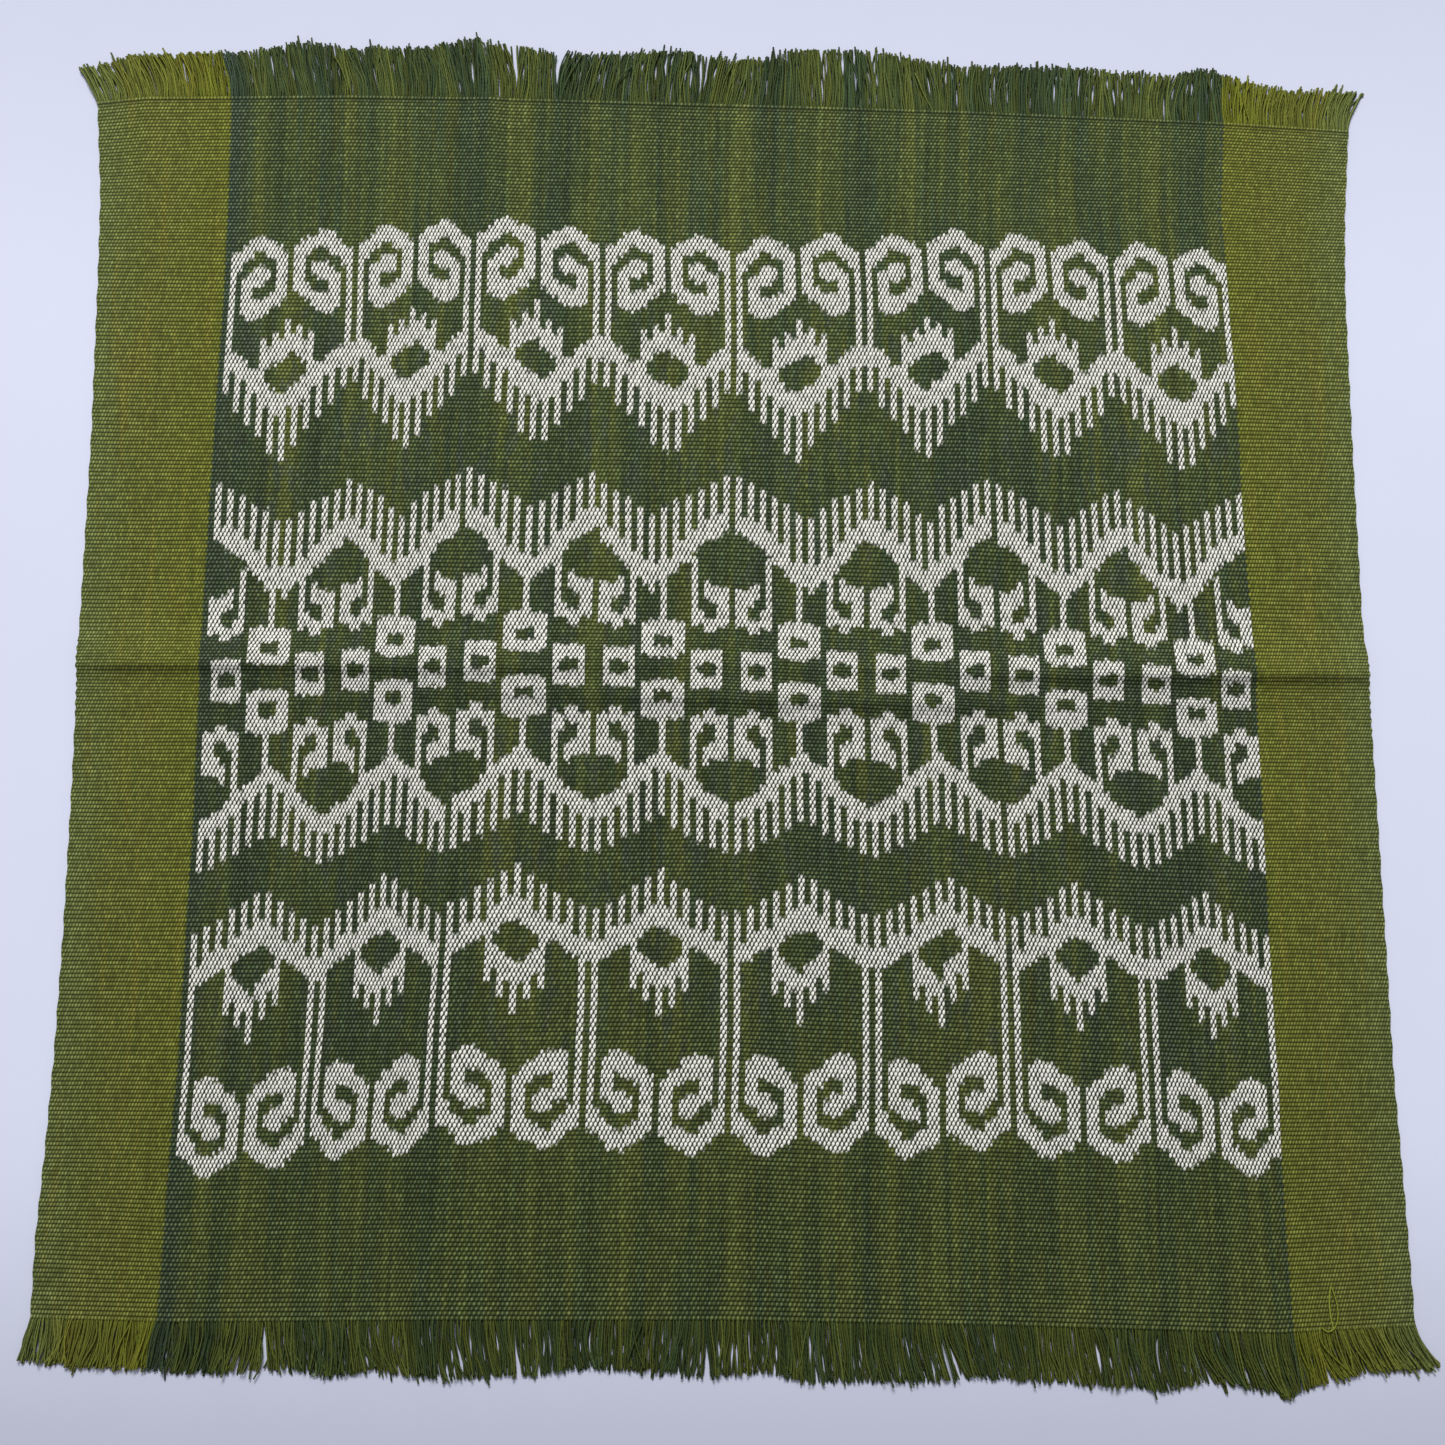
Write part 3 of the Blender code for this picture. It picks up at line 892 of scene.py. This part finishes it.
def new_group(name, inputs, outputs):
    """A shader node group: its tree, its graph, the values it is given and its own outputs."""
    tree = bpy.data.node_groups.new(name, "ShaderNodeTree")
    for socket, default in inputs:
        made = tree.interface.new_socket(name=socket, in_out="INPUT", socket_type=NUMBER)
        made.default_value = default
    for socket, kind in outputs:
        tree.interface.new_socket(name=socket, in_out="OUTPUT", socket_type=kind)
    graph = Graph(tree)
    given = graph.values(graph.node("NodeGroupInput"))
    return tree, graph, given, graph.node("NodeGroupOutput").inputs


def weave_group():
    """Plain weave with a dense warp: floats over every second pick, and how they are lit."""
    name = "plain weave"
    if name in bpy.data.node_groups:
        return bpy.data.node_groups[name]
    tree, graph, given, put = new_group(
        name, (("End", 0.0), ("Pick", 0.0), ("Float Width", 0.7), ("Float Length", 0.62)),
        (("Crown", NUMBER), ("Rib", NUMBER), ("Thread End", NUMBER), ("Thread Pick", NUMBER)))
    end, pick = given["End"], given["Pick"]
    crowns = []
    offsets = []
    for phase in (0.5, 1.5):
        along = graph.math("WRAP", pick - phase, 1.0, -1.0)
        side = graph.math("WRAP", end - along * FLOAT_SLANT - phase, 1.0, -1.0)
        side_share = abs(side / given["Float Width"])
        along_share = abs(along / given["Float Length"])
        crowns.append(1.0 - (side_share ** FLOAT_SQUARENESS + along_share ** FLOAT_SQUARENESS))
        offsets.append((side, along))
    second = graph.math("GREATER_THAN", crowns[1], crowns[0])
    side, along = (graph.between(second, *both) for both in zip(*offsets))

    rib = abs(graph.math("SINE", pick * math.pi))
    near_share = graph.soften(pick * -1.0, *NEAR_WEAVE_PICKS)
    on_diagonal = graph.math("COSINE", (end - pick) * math.pi) + 1.0
    bridge = on_diagonal * graph.between(near_share, 0.5 * FAR_BRIDGE, 0.5 * NEAR_BRIDGE)
    thread_end = end - along * FLOAT_SLANT - side
    thread_pick = pick - along
    graph.feed(put["Crown"], graph.math("MAXIMUM", *crowns))
    graph.feed(put["Rib"], rib + bridge * (1.0 - rib))
    graph.feed(put["Thread End"], graph.math("FLOOR", thread_end) + 0.5)
    graph.feed(put["Thread Pick"], graph.math("FLOOR", thread_pick) + 0.5)
    return tree


def panel_dye(graph, end, pick, own_tone, broad, colours):
    """The panel's dye from cool to warm, with grey patches beside the tied places."""
    streak = graph.cloud(end, pick, STREAK_TONE)
    single = graph.cloud(end, pick, SINGLE_TONE)
    tone = own_tone + (broad - 0.5) * 1.5 + (streak - 0.5) * 1.3 + (single - 0.5) * 0.35
    from_middle = abs(pick) / 150.0
    warmer = graph.soften(pick * -1.0, 40.0, 150.0) * 0.09
    cooler = graph.math("SUBTRACT", 1.0, from_middle, clamp=True) * 0.13
    ramp = graph.node("ShaderNodeValToRGB")
    graph.feed(ramp.inputs["Fac"], tone + 0.56 + warmer - cooler)
    stops = ramp.color_ramp.elements
    stops[0].position = 0.2
    stops[1].position = 0.86
    stops.new(0.52)
    for stop, dye in zip(stops, (colours.blue_green, colours.green, colours.olive)):
        stop.color = (*dye, 1.0)
    patch = graph.soften(graph.cloud(end, pick, GREY_PATCH), 0.50, 0.68)
    grey_share = patch * graph.soften(from_middle, 0.9, 0.55) * 0.6
    return graph.blend(grey_share, graph.values(ramp)["Color"], colours.lilac)


def side_dye(graph, end, pick, to_selvedge, colours):
    """The dye of the plain sides, from the panel out to the selvedge."""
    dye = graph.blend(graph.soften(to_selvedge, 0.0, 0.55), colours.side_inner, colours.side)
    dye = graph.blend(graph.soften(to_selvedge, 0.55, 1.05), dye, colours.side_outer)
    rust = graph.soften(graph.cloud(end, pick, SIDE_TONE), 0.52, 0.75) * 0.5
    return graph.blend(rust, dye, colours.side_rust)


def dye_group(colours):
    """Dye of one warp end at one pick, darker towards the near end, and the weft that shows
    beside it.
    """
    name = "warp dye"
    if name in bpy.data.node_groups:
        return bpy.data.node_groups[name]
    tree, graph, given, put = new_group(
        name, (("End", 0.0), ("Pick", 0.0), ("Own Tone", 0.0)),
        (("Dye", COLOUR), ("Weft", COLOUR)))
    end, pick = given["End"], given["Pick"]
    nearness = pick * -1.0
    near_end = graph.soften(nearness, 40.0, 150.0)
    broad = graph.cloud(end, pick, BROAD_TONE)
    depth = graph.cloud(end, pick, STREAK_DEPTH)
    single_end = graph.dice(end, 3.5)

    panel = panel_dye(graph, end, pick, given["Own Tone"], broad, colours)
    panel = graph.darken(panel, graph.between(depth, 0.5, 1.5) * graph.between(broad, 0.65, 1.35)
                         * graph.between(single_end, 0.8, 1.2))
    from_right = (PANEL_END - end) * 2.2
    from_edge = graph.math("MINIMUM", end - SIDE_ENDS, from_right)
    margin_share = graph.between(graph.soften(from_edge, 3.0, MARGIN_FADE_ENDS), 0.75, 0.0)
    panel = graph.blend(margin_share, panel, colours.margin)
    # Darker towards the near end
    panel = graph.darken(panel, graph.between(
        graph.soften(nearness, -120.0, 40.0), 1.02, 0.75))
    panel = graph.blend(near_end, panel, graph.blend(1.0, panel, (1.0, 1.0, 0.85), "MULTIPLY"))

    middle_end = 0.5 * ALL_ENDS
    half_panel = middle_end - SIDE_ENDS
    from_centre = abs(end - middle_end)
    side_mask = graph.math("GREATER_THAN", from_centre, half_panel)
    side = side_dye(graph, end, pick, (from_centre - half_panel) / SIDE_ENDS, colours)
    side = graph.darken(side, graph.between(depth, 0.84, 1.16)
                        * graph.between(single_end, 0.93, 1.07))
    # Darker towards the near end
    side = graph.darken(side, graph.between(graph.soften(nearness, -30.0, 150.0), 1.0, 0.81))
    graph.feed(put["Dye"], graph.blend(side_mask, panel, side))
    graph.feed(put["Weft"], graph.blend(side_mask, colours.weft_panel, colours.weft_side))
    return tree


def new_material(name, roughness, specular):
    """A material with a bare Principled BSDF whose even values are set on its own sockets."""
    material = bpy.data.materials.new(name)
    material.use_nodes = True
    graph = Graph(material.node_tree)
    shader = material.node_tree.nodes["Principled BSDF"]
    shader.inputs["Roughness"].default_value = roughness
    shader.inputs["Specular IOR Level"].default_value = specular
    return material, graph, shader


def undyed_share(graph, pick, thread_end, thread_pick):
    """1 on the floats that the ties kept undyed, with an edge that creeps from end to end."""
    inside = graph.math("MINIMUM", pick - graph.attribute("tie_start"),
                        graph.attribute("tie_stop") - pick)
    depth = inside * graph.attribute("tie_white")
    own = graph.dice(thread_end, 0.5)
    creep = graph.cloud(thread_end, thread_pick, DYE_CREEP)
    jitter = (own - 0.5) * 0.8 + (creep - 0.5) * 1.6
    return graph.soften(depth + jitter, -0.55, 0.45)


def cloth_material(sizes, colours):
    """Ikat cloth: dyed or undyed floats of warp over a dark weft."""
    material, graph, shader = new_material("woven_warp", 0.92, 0.15)
    uv = graph.values(graph.node("ShaderNodeUVMap", uv_map="weave"))["UV"]
    end, pick, _ = graph.split(uv)
    pick = graph.math("MAXIMUM", pick, NEAR_PICK + EDGE_PICKS)
    pick = graph.math("MINIMUM", pick, FAR_PICK - EDGE_PICKS)
    width = (graph.cloud(end, pick, FLOAT_BREADTH) + 0.5) * sizes.float_width
    weave = graph.group(weave_group(), End=end, Pick=pick,
                        Float_Width=width, Float_Length=sizes.float_length)
    crown, rib = weave["Crown"], weave["Rib"]
    thread_end, thread_pick = weave["Thread End"], weave["Thread Pick"]
    dye = graph.group(dye_group(colours), End=thread_end, Pick=thread_pick)
    white = undyed_share(graph, pick, thread_end, thread_pick)

    flecks = graph.dice(thread_end, thread_pick)
    near_share = graph.soften(pick * -1.0, *NEAR_WEAVE_PICKS)
    # Painted shade: the furrows between picks, the edges of the floats and the rows of the near
    # end are darkened, the crowns lightened
    furrow = graph.between(near_share, 0.16, 0.04)
    # Painted shade of the furrow before the last pick at the far edge
    last_furrow = graph.soften(abs(pick - (FAR_PICK - LAST_FURROW_PICKS)), 0.34, 0.1)
    dyed_shade = graph.between(graph.soften(rib, 0.04, 0.96), furrow, 1.17)
    dyed_shade *= graph.between(graph.soften(crown, 0.1, 1.0), 0.80, 1.30)
    dyed_shade *= graph.between(flecks, 0.72, 1.28)
    dyed_shade *= graph.between(graph.cloud(end, pick, WEFT_SLUB), 0.7, 1.3)
    dyed_shade *= graph.between(last_furrow, 1.0, 0.3)
    white_shade = graph.between(rib, graph.between(near_share, 0.82, 0.7), 1.0)
    white_shade *= graph.between(graph.soften(crown, 0.0, 0.7), 0.70, 1.0)
    white_shade *= graph.between(flecks, 0.93, 1.06)
    # Painted highlight: the crowns of the dyed floats are blended towards a pale colour
    crown_highlight = graph.soften(crown, 0.35, 1.0) * 0.2
    dyed = graph.blend(crown_highlight, dye["Dye"], colours.crown_highlight)
    thread = graph.blend(white, dyed, colours.resist)
    thread = graph.darken(thread, graph.between(white, dyed_shade, white_shade))

    weft = graph.blend(0.3, dye["Dye"], dye["Weft"])
    # Painted shade: the weft is darker in the furrows between picks
    weft = graph.darken(weft, graph.between(rib, furrow * 0.9, 1.0))
    weft = graph.blend(white * 0.85, weft, colours.weft_white)
    bare = white * graph.between(near_share, 0.06, 0.16)
    covered = graph.soften(crown - bare, -0.16, 0.1)
    graph.feed(shader.inputs["Base Color"], graph.blend(covered, weft, thread))

    fibre = graph.cloud(end, pick, FIBRE)
    height = graph.math("MAXIMUM", crown, -0.25) * 0.28 + rib * 0.75 + fibre * 0.25
    graph.bump(shader, height, 0.8, sizes.relief)
    return material


def fringe_material(colours):
    """Loose warp yarn, dyed as the cloth is where it leaves it."""
    name = "loose_warp"
    if name in bpy.data.materials:
        return bpy.data.materials[name]
    material, graph, shader = new_material(name, 0.9, 0.15)
    end, pick, turn = (graph.attribute(layer) for layer in ("end", "pick", "turn"))
    own = graph.dice(end, 0.5)
    own_tone = (graph.dice(end, 7.5) - 0.5) * 0.55
    dye = graph.group(dye_group(colours), End=end, Pick=pick, Own_Tone=own_tone)
    twist = graph.math("SINE", pick * 5.4 + (turn + own * 9.0) * (2.0 * math.pi))
    upper = graph.math("MAXIMUM", graph.math("SINE", turn * (2.0 * math.pi)), 0.0)
    shade = graph.between(own, 0.84, 1.66) * graph.attribute("light")
    shade *= graph.between(upper, 0.62, 1.12)
    shade *= graph.between(twist * 0.5 + 0.5, 0.89, 1.05)
    graph.feed(shader.inputs["Base Color"], graph.darken(dye["Dye"], shade))
    graph.bump(shader, twist, 0.25, 0.0001)
    return material


def floor_material(stage):
    material, graph, shader = new_material("pale_surface", 0.75, 0.2)
    place = graph.values(graph.node("ShaderNodeTexCoord"))["Object"]
    texture = graph.node("ShaderNodeTexNoise")
    graph.feed(texture.inputs["Vector"], place)
    texture.inputs["Scale"].default_value = 40.0
    grain = graph.values(texture)["Fac"]
    # Painted shade: the floor is darkened towards the far side and more towards the near side
    _, y, _ = graph.split(place)
    far_share = graph.soften(y, 0.12, 0.30)
    near_share = graph.soften(y * -1.0, 0.14, 0.33)
    share = far_share * 0.42 + near_share + grain * 0.05
    shaded_floor = tuple(value * 0.62 for value in stage.floor)
    graph.feed(shader.inputs["Base Color"], graph.blend(share, stage.floor, shaded_floor))
    return material


def piece_from_bmesh(form, name, material):
    mesh = bpy.data.meshes.new(name)
    form.to_mesh(mesh)
    form.free()
    mesh.materials.append(material)
    mesh.shade_smooth()
    piece = bpy.data.objects.new(name, mesh)
    bpy.context.scene.collection.objects.link(piece)
    return piece


class MAT_OT_cloth(bpy.types.Operator):
    """Makes the woven sheet with its folds, weave places and resist pattern."""

    bl_idname = "woven_mat.cloth"
    bl_label = "Make the cloth"

    def execute(self, context):
        sizes = context.scene.mat_sizes
        colours = context.scene.mat_colours
        ends = grid_ends()
        picks = grid_picks()
        spans = panel_spans()
        form = bmesh.new()
        bmesh.ops.create_grid(
            form, x_segments=len(ends) - 1, y_segments=len(picks) - 1, size=1.0)
        weave = form.loops.layers.uv.new("weave")
        ties = [form.faces.layers.float.new(name)
                for name in ("tie_start", "tie_stop", "tie_white")]
        at = {}
        for vertex in form.verts:
            column = round((vertex.co.x + 1.0) / 2.0 * (len(ends) - 1))
            row = round((vertex.co.y + 1.0) / 2.0 * (len(picks) - 1))
            at[vertex.index] = (column, row)
            vertex.co = cloth_point(ends[column], picks[row], sizes)
        first_panel_column = ends.index(FIRST_STEM_END)
        for face in form.faces:
            column, row = min(at[loop.vert.index] for loop in face.loops)
            panel_column = column - first_panel_column
            in_panel = 0 <= panel_column < PANEL_COLUMNS
            middle_pick = 0.5 * (picks[row] + picks[row + 1])
            stretch = stretch_at(spans[panel_column] if in_panel else (), middle_pick)
            for layer, value in zip(ties, stretch):
                face[layer] = value
            for loop in face.loops:
                column, row = at[loop.vert.index]
                loop[weave].uv = (ends[column], picks[row])
        for edge in form.edges:
            edge.smooth = not edge.is_boundary
        cloth = piece_from_bmesh(form, "ikat_mat_cloth", cloth_material(sizes, colours))
        body = cloth.modifiers.new("thickness", "SOLIDIFY")
        body.thickness = sizes.thickness
        body.offset = -1.0
        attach(cloth, "root")
        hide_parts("cloth")
        return {"FINISHED"}


def lean_at(clumps, x):
    for clump in clumps:
        if x <= clump.end:
            share = (x - clump.start) / (clump.end - clump.start)
            return clump.lean_start + (clump.lean_end - clump.lean_start) * share
    return clumps[-1].lean_end


def strand_template():
    """A unit tube of rings along Z, which each loose end bends to its own route."""
    form = bmesh.new()
    bmesh.ops.create_circle(form, segments=STRAND_SIDES, radius=1.0, cap_ends=True)
    rim = list(form.edges)
    for level in range(1, STRAND_RINGS):
        grown = bmesh.ops.extrude_edge_only(form, edges=rim)
        verts = [item for item in grown["geom"] if isinstance(item, bmesh.types.BMVert)]
        rim = [item for item in grown["geom"]
               if isinstance(item, bmesh.types.BMEdge)
               and all(vert in verts for vert in item.verts)]
        bmesh.ops.translate(form, verts=verts, vec=(0.0, 0.0, 1.0))
    bmesh.ops.contextual_create(form, geom=rim)
    bmesh.ops.recalc_face_normals(form, faces=form.faces)
    for cap in (face for face in form.faces if abs(face.normal.z) > 0.5):
        for edge in cap.edges:
            edge.smooth = False
    mesh = bpy.data.meshes.new("strand_template")
    form.to_mesh(mesh)
    form.free()
    return mesh


class FringeMaker:
    """Lays the loose warp ends of one cut edge into one mesh."""

    def __init__(self, edge, clumps, reach, sizes, fringe):
        self.edge = edge
        self.outwards = 1.0 if edge == "far" else -1.0
        self.clumps = clumps
        self.reach = reach
        self.chance = random.Random(FRINGE_SEEDS[edge])
        self.sizes = sizes
        self.fringe = fringe
        self.template = strand_template()
        self.form = bmesh.new()
        self.layers = [self.form.verts.layers.float.new(name)
                       for name in ("end", "pick", "turn", "light")]
        self.edge_pick = FAR_PICK if edge == "far" else NEAR_PICK
        self.edge_y = row_y(self.edge_pick)
        self.knots = knot_places(self.edge_y, 1.0 if edge == "far" else 0.0)

    def root(self, end):
        x = float(np.interp(end, END_KNOTS, self.knots))
        y = self.edge_y + read_table(BOWS, "x", self.edge, x)
        return x, y

    def lay(self, end, route, radius, light=1.0):
        """Adds one strand along route, a list of points in mm, one for each ring."""
        start = len(self.form.verts)
        self.form.from_mesh(self.template)
        self.form.verts.ensure_lookup_table()
        points = [Vector(point) for point in route]
        length = 0.0
        along = [0.0]
        for before, after in zip(points, points[1:]):
            length += (after - before).length
            along.append(length)
        for vertex in self.form.verts[start:]:
            level = round(vertex.co.z)
            before = points[max(level - 1, 0)]
            after = points[min(level + 1, len(points) - 1)]
            heading = (after - before).normalized()
            sideways = heading.cross(Vector((0.0, 0.0, 1.0))).normalized()
            upwards = sideways.cross(heading)
            offset = (sideways * vertex.co.x + upwards * vertex.co.y) * radius
            pick = self.edge_pick + self.outwards * along[level] / LOOSE_PICK_LENGTH
            turn = math.atan2(vertex.co.y, vertex.co.x) / (2.0 * math.pi)
            for layer, value in zip(self.layers, (end, pick, turn, light)):
                vertex[layer] = value
            place = points[level] + offset
            vertex.co = Vector(((place.x + SHIFT_X) * MM, (place.y + SHIFT_Y) * MM,
                                place.z * MM))

    def sway(self, x, place):
        """Smooth stray, from about -1 to 1, that neighbouring ends share."""
        width = self.fringe.sway_width / MM
        wide = noise.noise(Vector((x / width, place, self.edge_pick)))
        return 1.3 * wide + 0.7 * noise.noise(Vector((2.3 * x / width, place, 4.5)))

    def loose_end(self, end, lean, length, layer, bow, curl):
        x, y = self.root(end)
        radius = self.fringe.radius / MM * self.chance.uniform(0.85, 1.12)
        tip = layer.tip * self.chance.uniform(0.75, 1.25)
        root = top_height(x, y, self.sizes) - layer.depth
        phase = self.chance.uniform(0.0, 2.0 * math.pi)
        start = self.chance.uniform(*ROOT_INSET)
        route = []
        for level in range(STRAND_RINGS):
            share = level / (STRAND_RINGS - 1)
            out = -start + (length + start) * share
            side = lean * share ** LEAN_POWER + bow * math.sin(math.pi * share)
            side += curl * share * math.sin(1.6 * math.pi * share + phase)
            z = root + (tip - root) * min(1.0, share * 2.2)
            z += 0.25 * share * math.sin(2.4 * math.pi * share + phase)
            z -= ROOT_DIP if level == 0 else 0.0
            route.append((x + side, y + self.outwards * out, max(z, radius + 0.02)))
        self.lay(end, route, radius, layer.light)

    def loop(self, spots, height):
        """Lays a loop of yarn through spots given by x and their place past the cut edge."""
        places = np.linspace(0.0, len(spots) - 1.0, STRAND_RINGS)
        xs = np.interp(places, range(len(spots)), [spot.x for spot in spots])
        outs = np.interp(places, range(len(spots)), [spot.out for spot in spots])
        end = float(np.interp(spots[0].x, self.knots, END_KNOTS))
        _, edge_y = self.root(end)
        route = [(x, edge_y + self.outwards * out, height) for x, out in zip(xs, outs)]
        self.lay(end, route, LOOP_RADIUS, LOOP_LIGHT)

    def lay_ends(self):
        """Lays three strands for each warp end, two of them under the first."""
        jitter = self.fringe.lean_jitter / MM
        uneven = self.fringe.length_jitter / MM
        sway = self.fringe.sway / MM
        for index in range(ALL_ENDS):
            first = MIDDLE_LAYER if index % 2 else UPPER_LAYER
            for layer in (first,) + LOWER_LAYERS:
                end = index + self.chance.uniform(0.1, 0.9)
                x, _ = self.root(end)
                together = 1.0 if layer is first else LOWER_SWAY
                lean = lean_at(self.clumps, x) + together * sway * self.sway(x, LEAN_SWAY)
                lean += self.chance.gauss(0.0, jitter * (1.4 - 0.9 * together))
                length = read_table(self.reach, "x", "length", x)
                length += 0.7 * self.sway(x, LENGTH_SWAY) + self.chance.gauss(0.0, uneven * 0.6)
                if self.chance.random() < LONG_END_SHARE:
                    length += self.chance.uniform(*LONG_END_EXTRA)
                bow = 1.2 * together * self.sway(x, BOW_SWAY) + self.chance.gauss(0.0, 0.3)
                curl = self.chance.gauss(0.0, 0.75)
                self.loose_end(end, lean, length, layer, bow, curl)

    def lay_crossing_ends(self):
        for _ in range(self.fringe.strays):
            end = self.chance.randrange(4, ALL_ENDS - 4) + 0.5
            x, _ = self.root(end)
            way = self.chance.choice((-1, 1))
            lean = lean_at(self.clumps, x) + way * self.chance.uniform(*CROSSING_LEAN)
            length = read_table(self.reach, "x", "length", x)
            length *= self.chance.uniform(*CROSSING_LENGTH)
            bow = self.chance.gauss(0.0, 0.8)
            self.loose_end(end, lean, length, CROSSING_LAYER, bow, 0.6)

    def make(self, name, material):
        self.lay_ends()
        self.lay_crossing_ends()
        if self.edge == "near":
            on_cloth = self.sizes.thickness / MM + PULLED_LOOP_HEIGHT
            self.loop(TIP_LOOP, TIP_LOOP_HEIGHT)
            self.loop(PULLED_LOOP, on_cloth)
            self.loop(PULLED_END, on_cloth - PULLED_END_DROP)
        bpy.data.meshes.remove(self.template)
        return piece_from_bmesh(self.form, name, material)


class MAT_OT_far_fringe(bpy.types.Operator):
    """Makes the loose warp ends along the far edge."""

    bl_idname = "woven_mat.far_fringe"
    bl_label = "Make the far fringe"

    def execute(self, context):
        scene = context.scene
        maker = FringeMaker("far", FAR_CLUMPS, FAR_REACH, scene.mat_sizes, scene.mat_fringe)
        fringe = maker.make("far_fringe_yarn", fringe_material(scene.mat_colours))
        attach(fringe, "root")
        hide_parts("fringe_far")
        return {"FINISHED"}


class MAT_OT_near_fringe(bpy.types.Operator):
    """Makes the loose warp ends along the near edge."""

    bl_idname = "woven_mat.near_fringe"
    bl_label = "Make the near fringe"

    def execute(self, context):
        scene = context.scene
        maker = FringeMaker("near", NEAR_CLUMPS, NEAR_REACH, scene.mat_sizes, scene.mat_fringe)
        fringe = maker.make("near_fringe_yarn", fringe_material(scene.mat_colours))
        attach(fringe, "root")
        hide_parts("fringe_near")
        return {"FINISHED"}


class MAT_OT_stage(bpy.types.Operator):
    """Makes the pale surface, the soft light and the camera above the mat."""

    bl_idname = "woven_mat.stage"
    bl_label = "Make the stage"

    def execute(self, context):
        scene = context.scene
        stage = scene.mat_stage
        form = bmesh.new()
        bmesh.ops.create_grid(form, x_segments=4, y_segments=4, size=FLOOR_HALF_SIDE)
        floor = piece_from_bmesh(form, "surface", floor_material(stage))

        lamp = bpy.data.lights.new("key_light", "AREA")
        lamp.shape = "RECTANGLE"
        lamp.size, lamp.size_y = LAMP_SIDES
        lamp.energy = stage.key_power
        light = bpy.data.objects.new("key_light", lamp)
        light.location = LAMP_PLACE
        aim = -Vector(light.location)
        light.rotation_euler = aim.to_track_quat("-Z", "Y").to_euler()
        scene.collection.objects.link(light)

        world = bpy.data.worlds.new("room")
        world.use_nodes = True
        background = world.node_tree.nodes["Background"]
        background.inputs["Color"].default_value = (*paint(246, 248, 255), 1.0)
        background.inputs["Strength"].default_value = stage.fill
        scene.world = world

        lens = bpy.data.cameras.new("camera")
        lens.lens = 36.0
        lens.sensor_width = 36.0
        lens.clip_start = 0.01
        camera = bpy.data.objects.new("camera", lens)
        camera.location = (SHIFT_X * MM, SHIFT_Y * MM - CAMERA_BACK,
                           stage.camera_height + scene.mat_sizes.thickness)
        camera.rotation_euler = (stage.camera_tilt, 0.0, 0.0)
        scene.collection.objects.link(camera)
        scene.camera = camera
        scene.view_settings.view_transform = "Standard"
        return {"FINISHED"}


class MAT_OT_declare(bpy.types.Operator):
    """Does nothing: no piece is declared as the sheet."""

    bl_idname = "woven_mat.declare"
    bl_label = "Declare the sheet"

    def execute(self, context):
        return {"FINISHED"}


class MAT_PT_panel(bpy.types.Panel):
    """Lists the mat's makers and settings in the sidebar."""

    bl_idname = "MAT_PT_panel"
    bl_label = "Woven mat"
    bl_space_type = "VIEW_3D"
    bl_region_type = "UI"
    bl_category = "Mat"

    def draw(self, context):
        layout = self.layout
        for operator in (MAT_OT_stage, MAT_OT_cloth, MAT_OT_far_fringe, MAT_OT_near_fringe,
                         MAT_OT_declare):
            layout.operator(operator.bl_idname)
        for group in ("mat_sizes", "mat_colours", "mat_fringe", "mat_stage"):
            settings = getattr(context.scene, group)
            box = layout.box()
            for name in settings.bl_rna.properties.keys():
                if name not in ("rna_type", "name"):
                    box.prop(settings, name)


CLASSES = (
    MatSizes, DyeColours, FringeSizes, StageSettings,
    MAT_OT_cloth, MAT_OT_far_fringe, MAT_OT_near_fringe, MAT_OT_stage, MAT_OT_declare,
    MAT_PT_panel,
)
SETTINGS = (
    ("mat_sizes", MatSizes), ("mat_colours", DyeColours),
    ("mat_fringe", FringeSizes), ("mat_stage", StageSettings),
)


def register():
    for made in CLASSES:
        bpy.utils.register_class(made)
    for name, group in SETTINGS:
        setattr(bpy.types.Scene, name, PointerProperty(type=group))


def unregister():
    for name, _ in SETTINGS:
        delattr(bpy.types.Scene, name)
    for made in reversed(CLASSES):
        bpy.utils.unregister_class(made)


def main():
    register()
    bpy.ops.woven_mat.stage()
    bpy.ops.woven_mat.cloth()
    bpy.ops.woven_mat.far_fringe()
    bpy.ops.woven_mat.near_fringe()
    bpy.ops.woven_mat.declare()


if __name__ == "__main__":
    main()
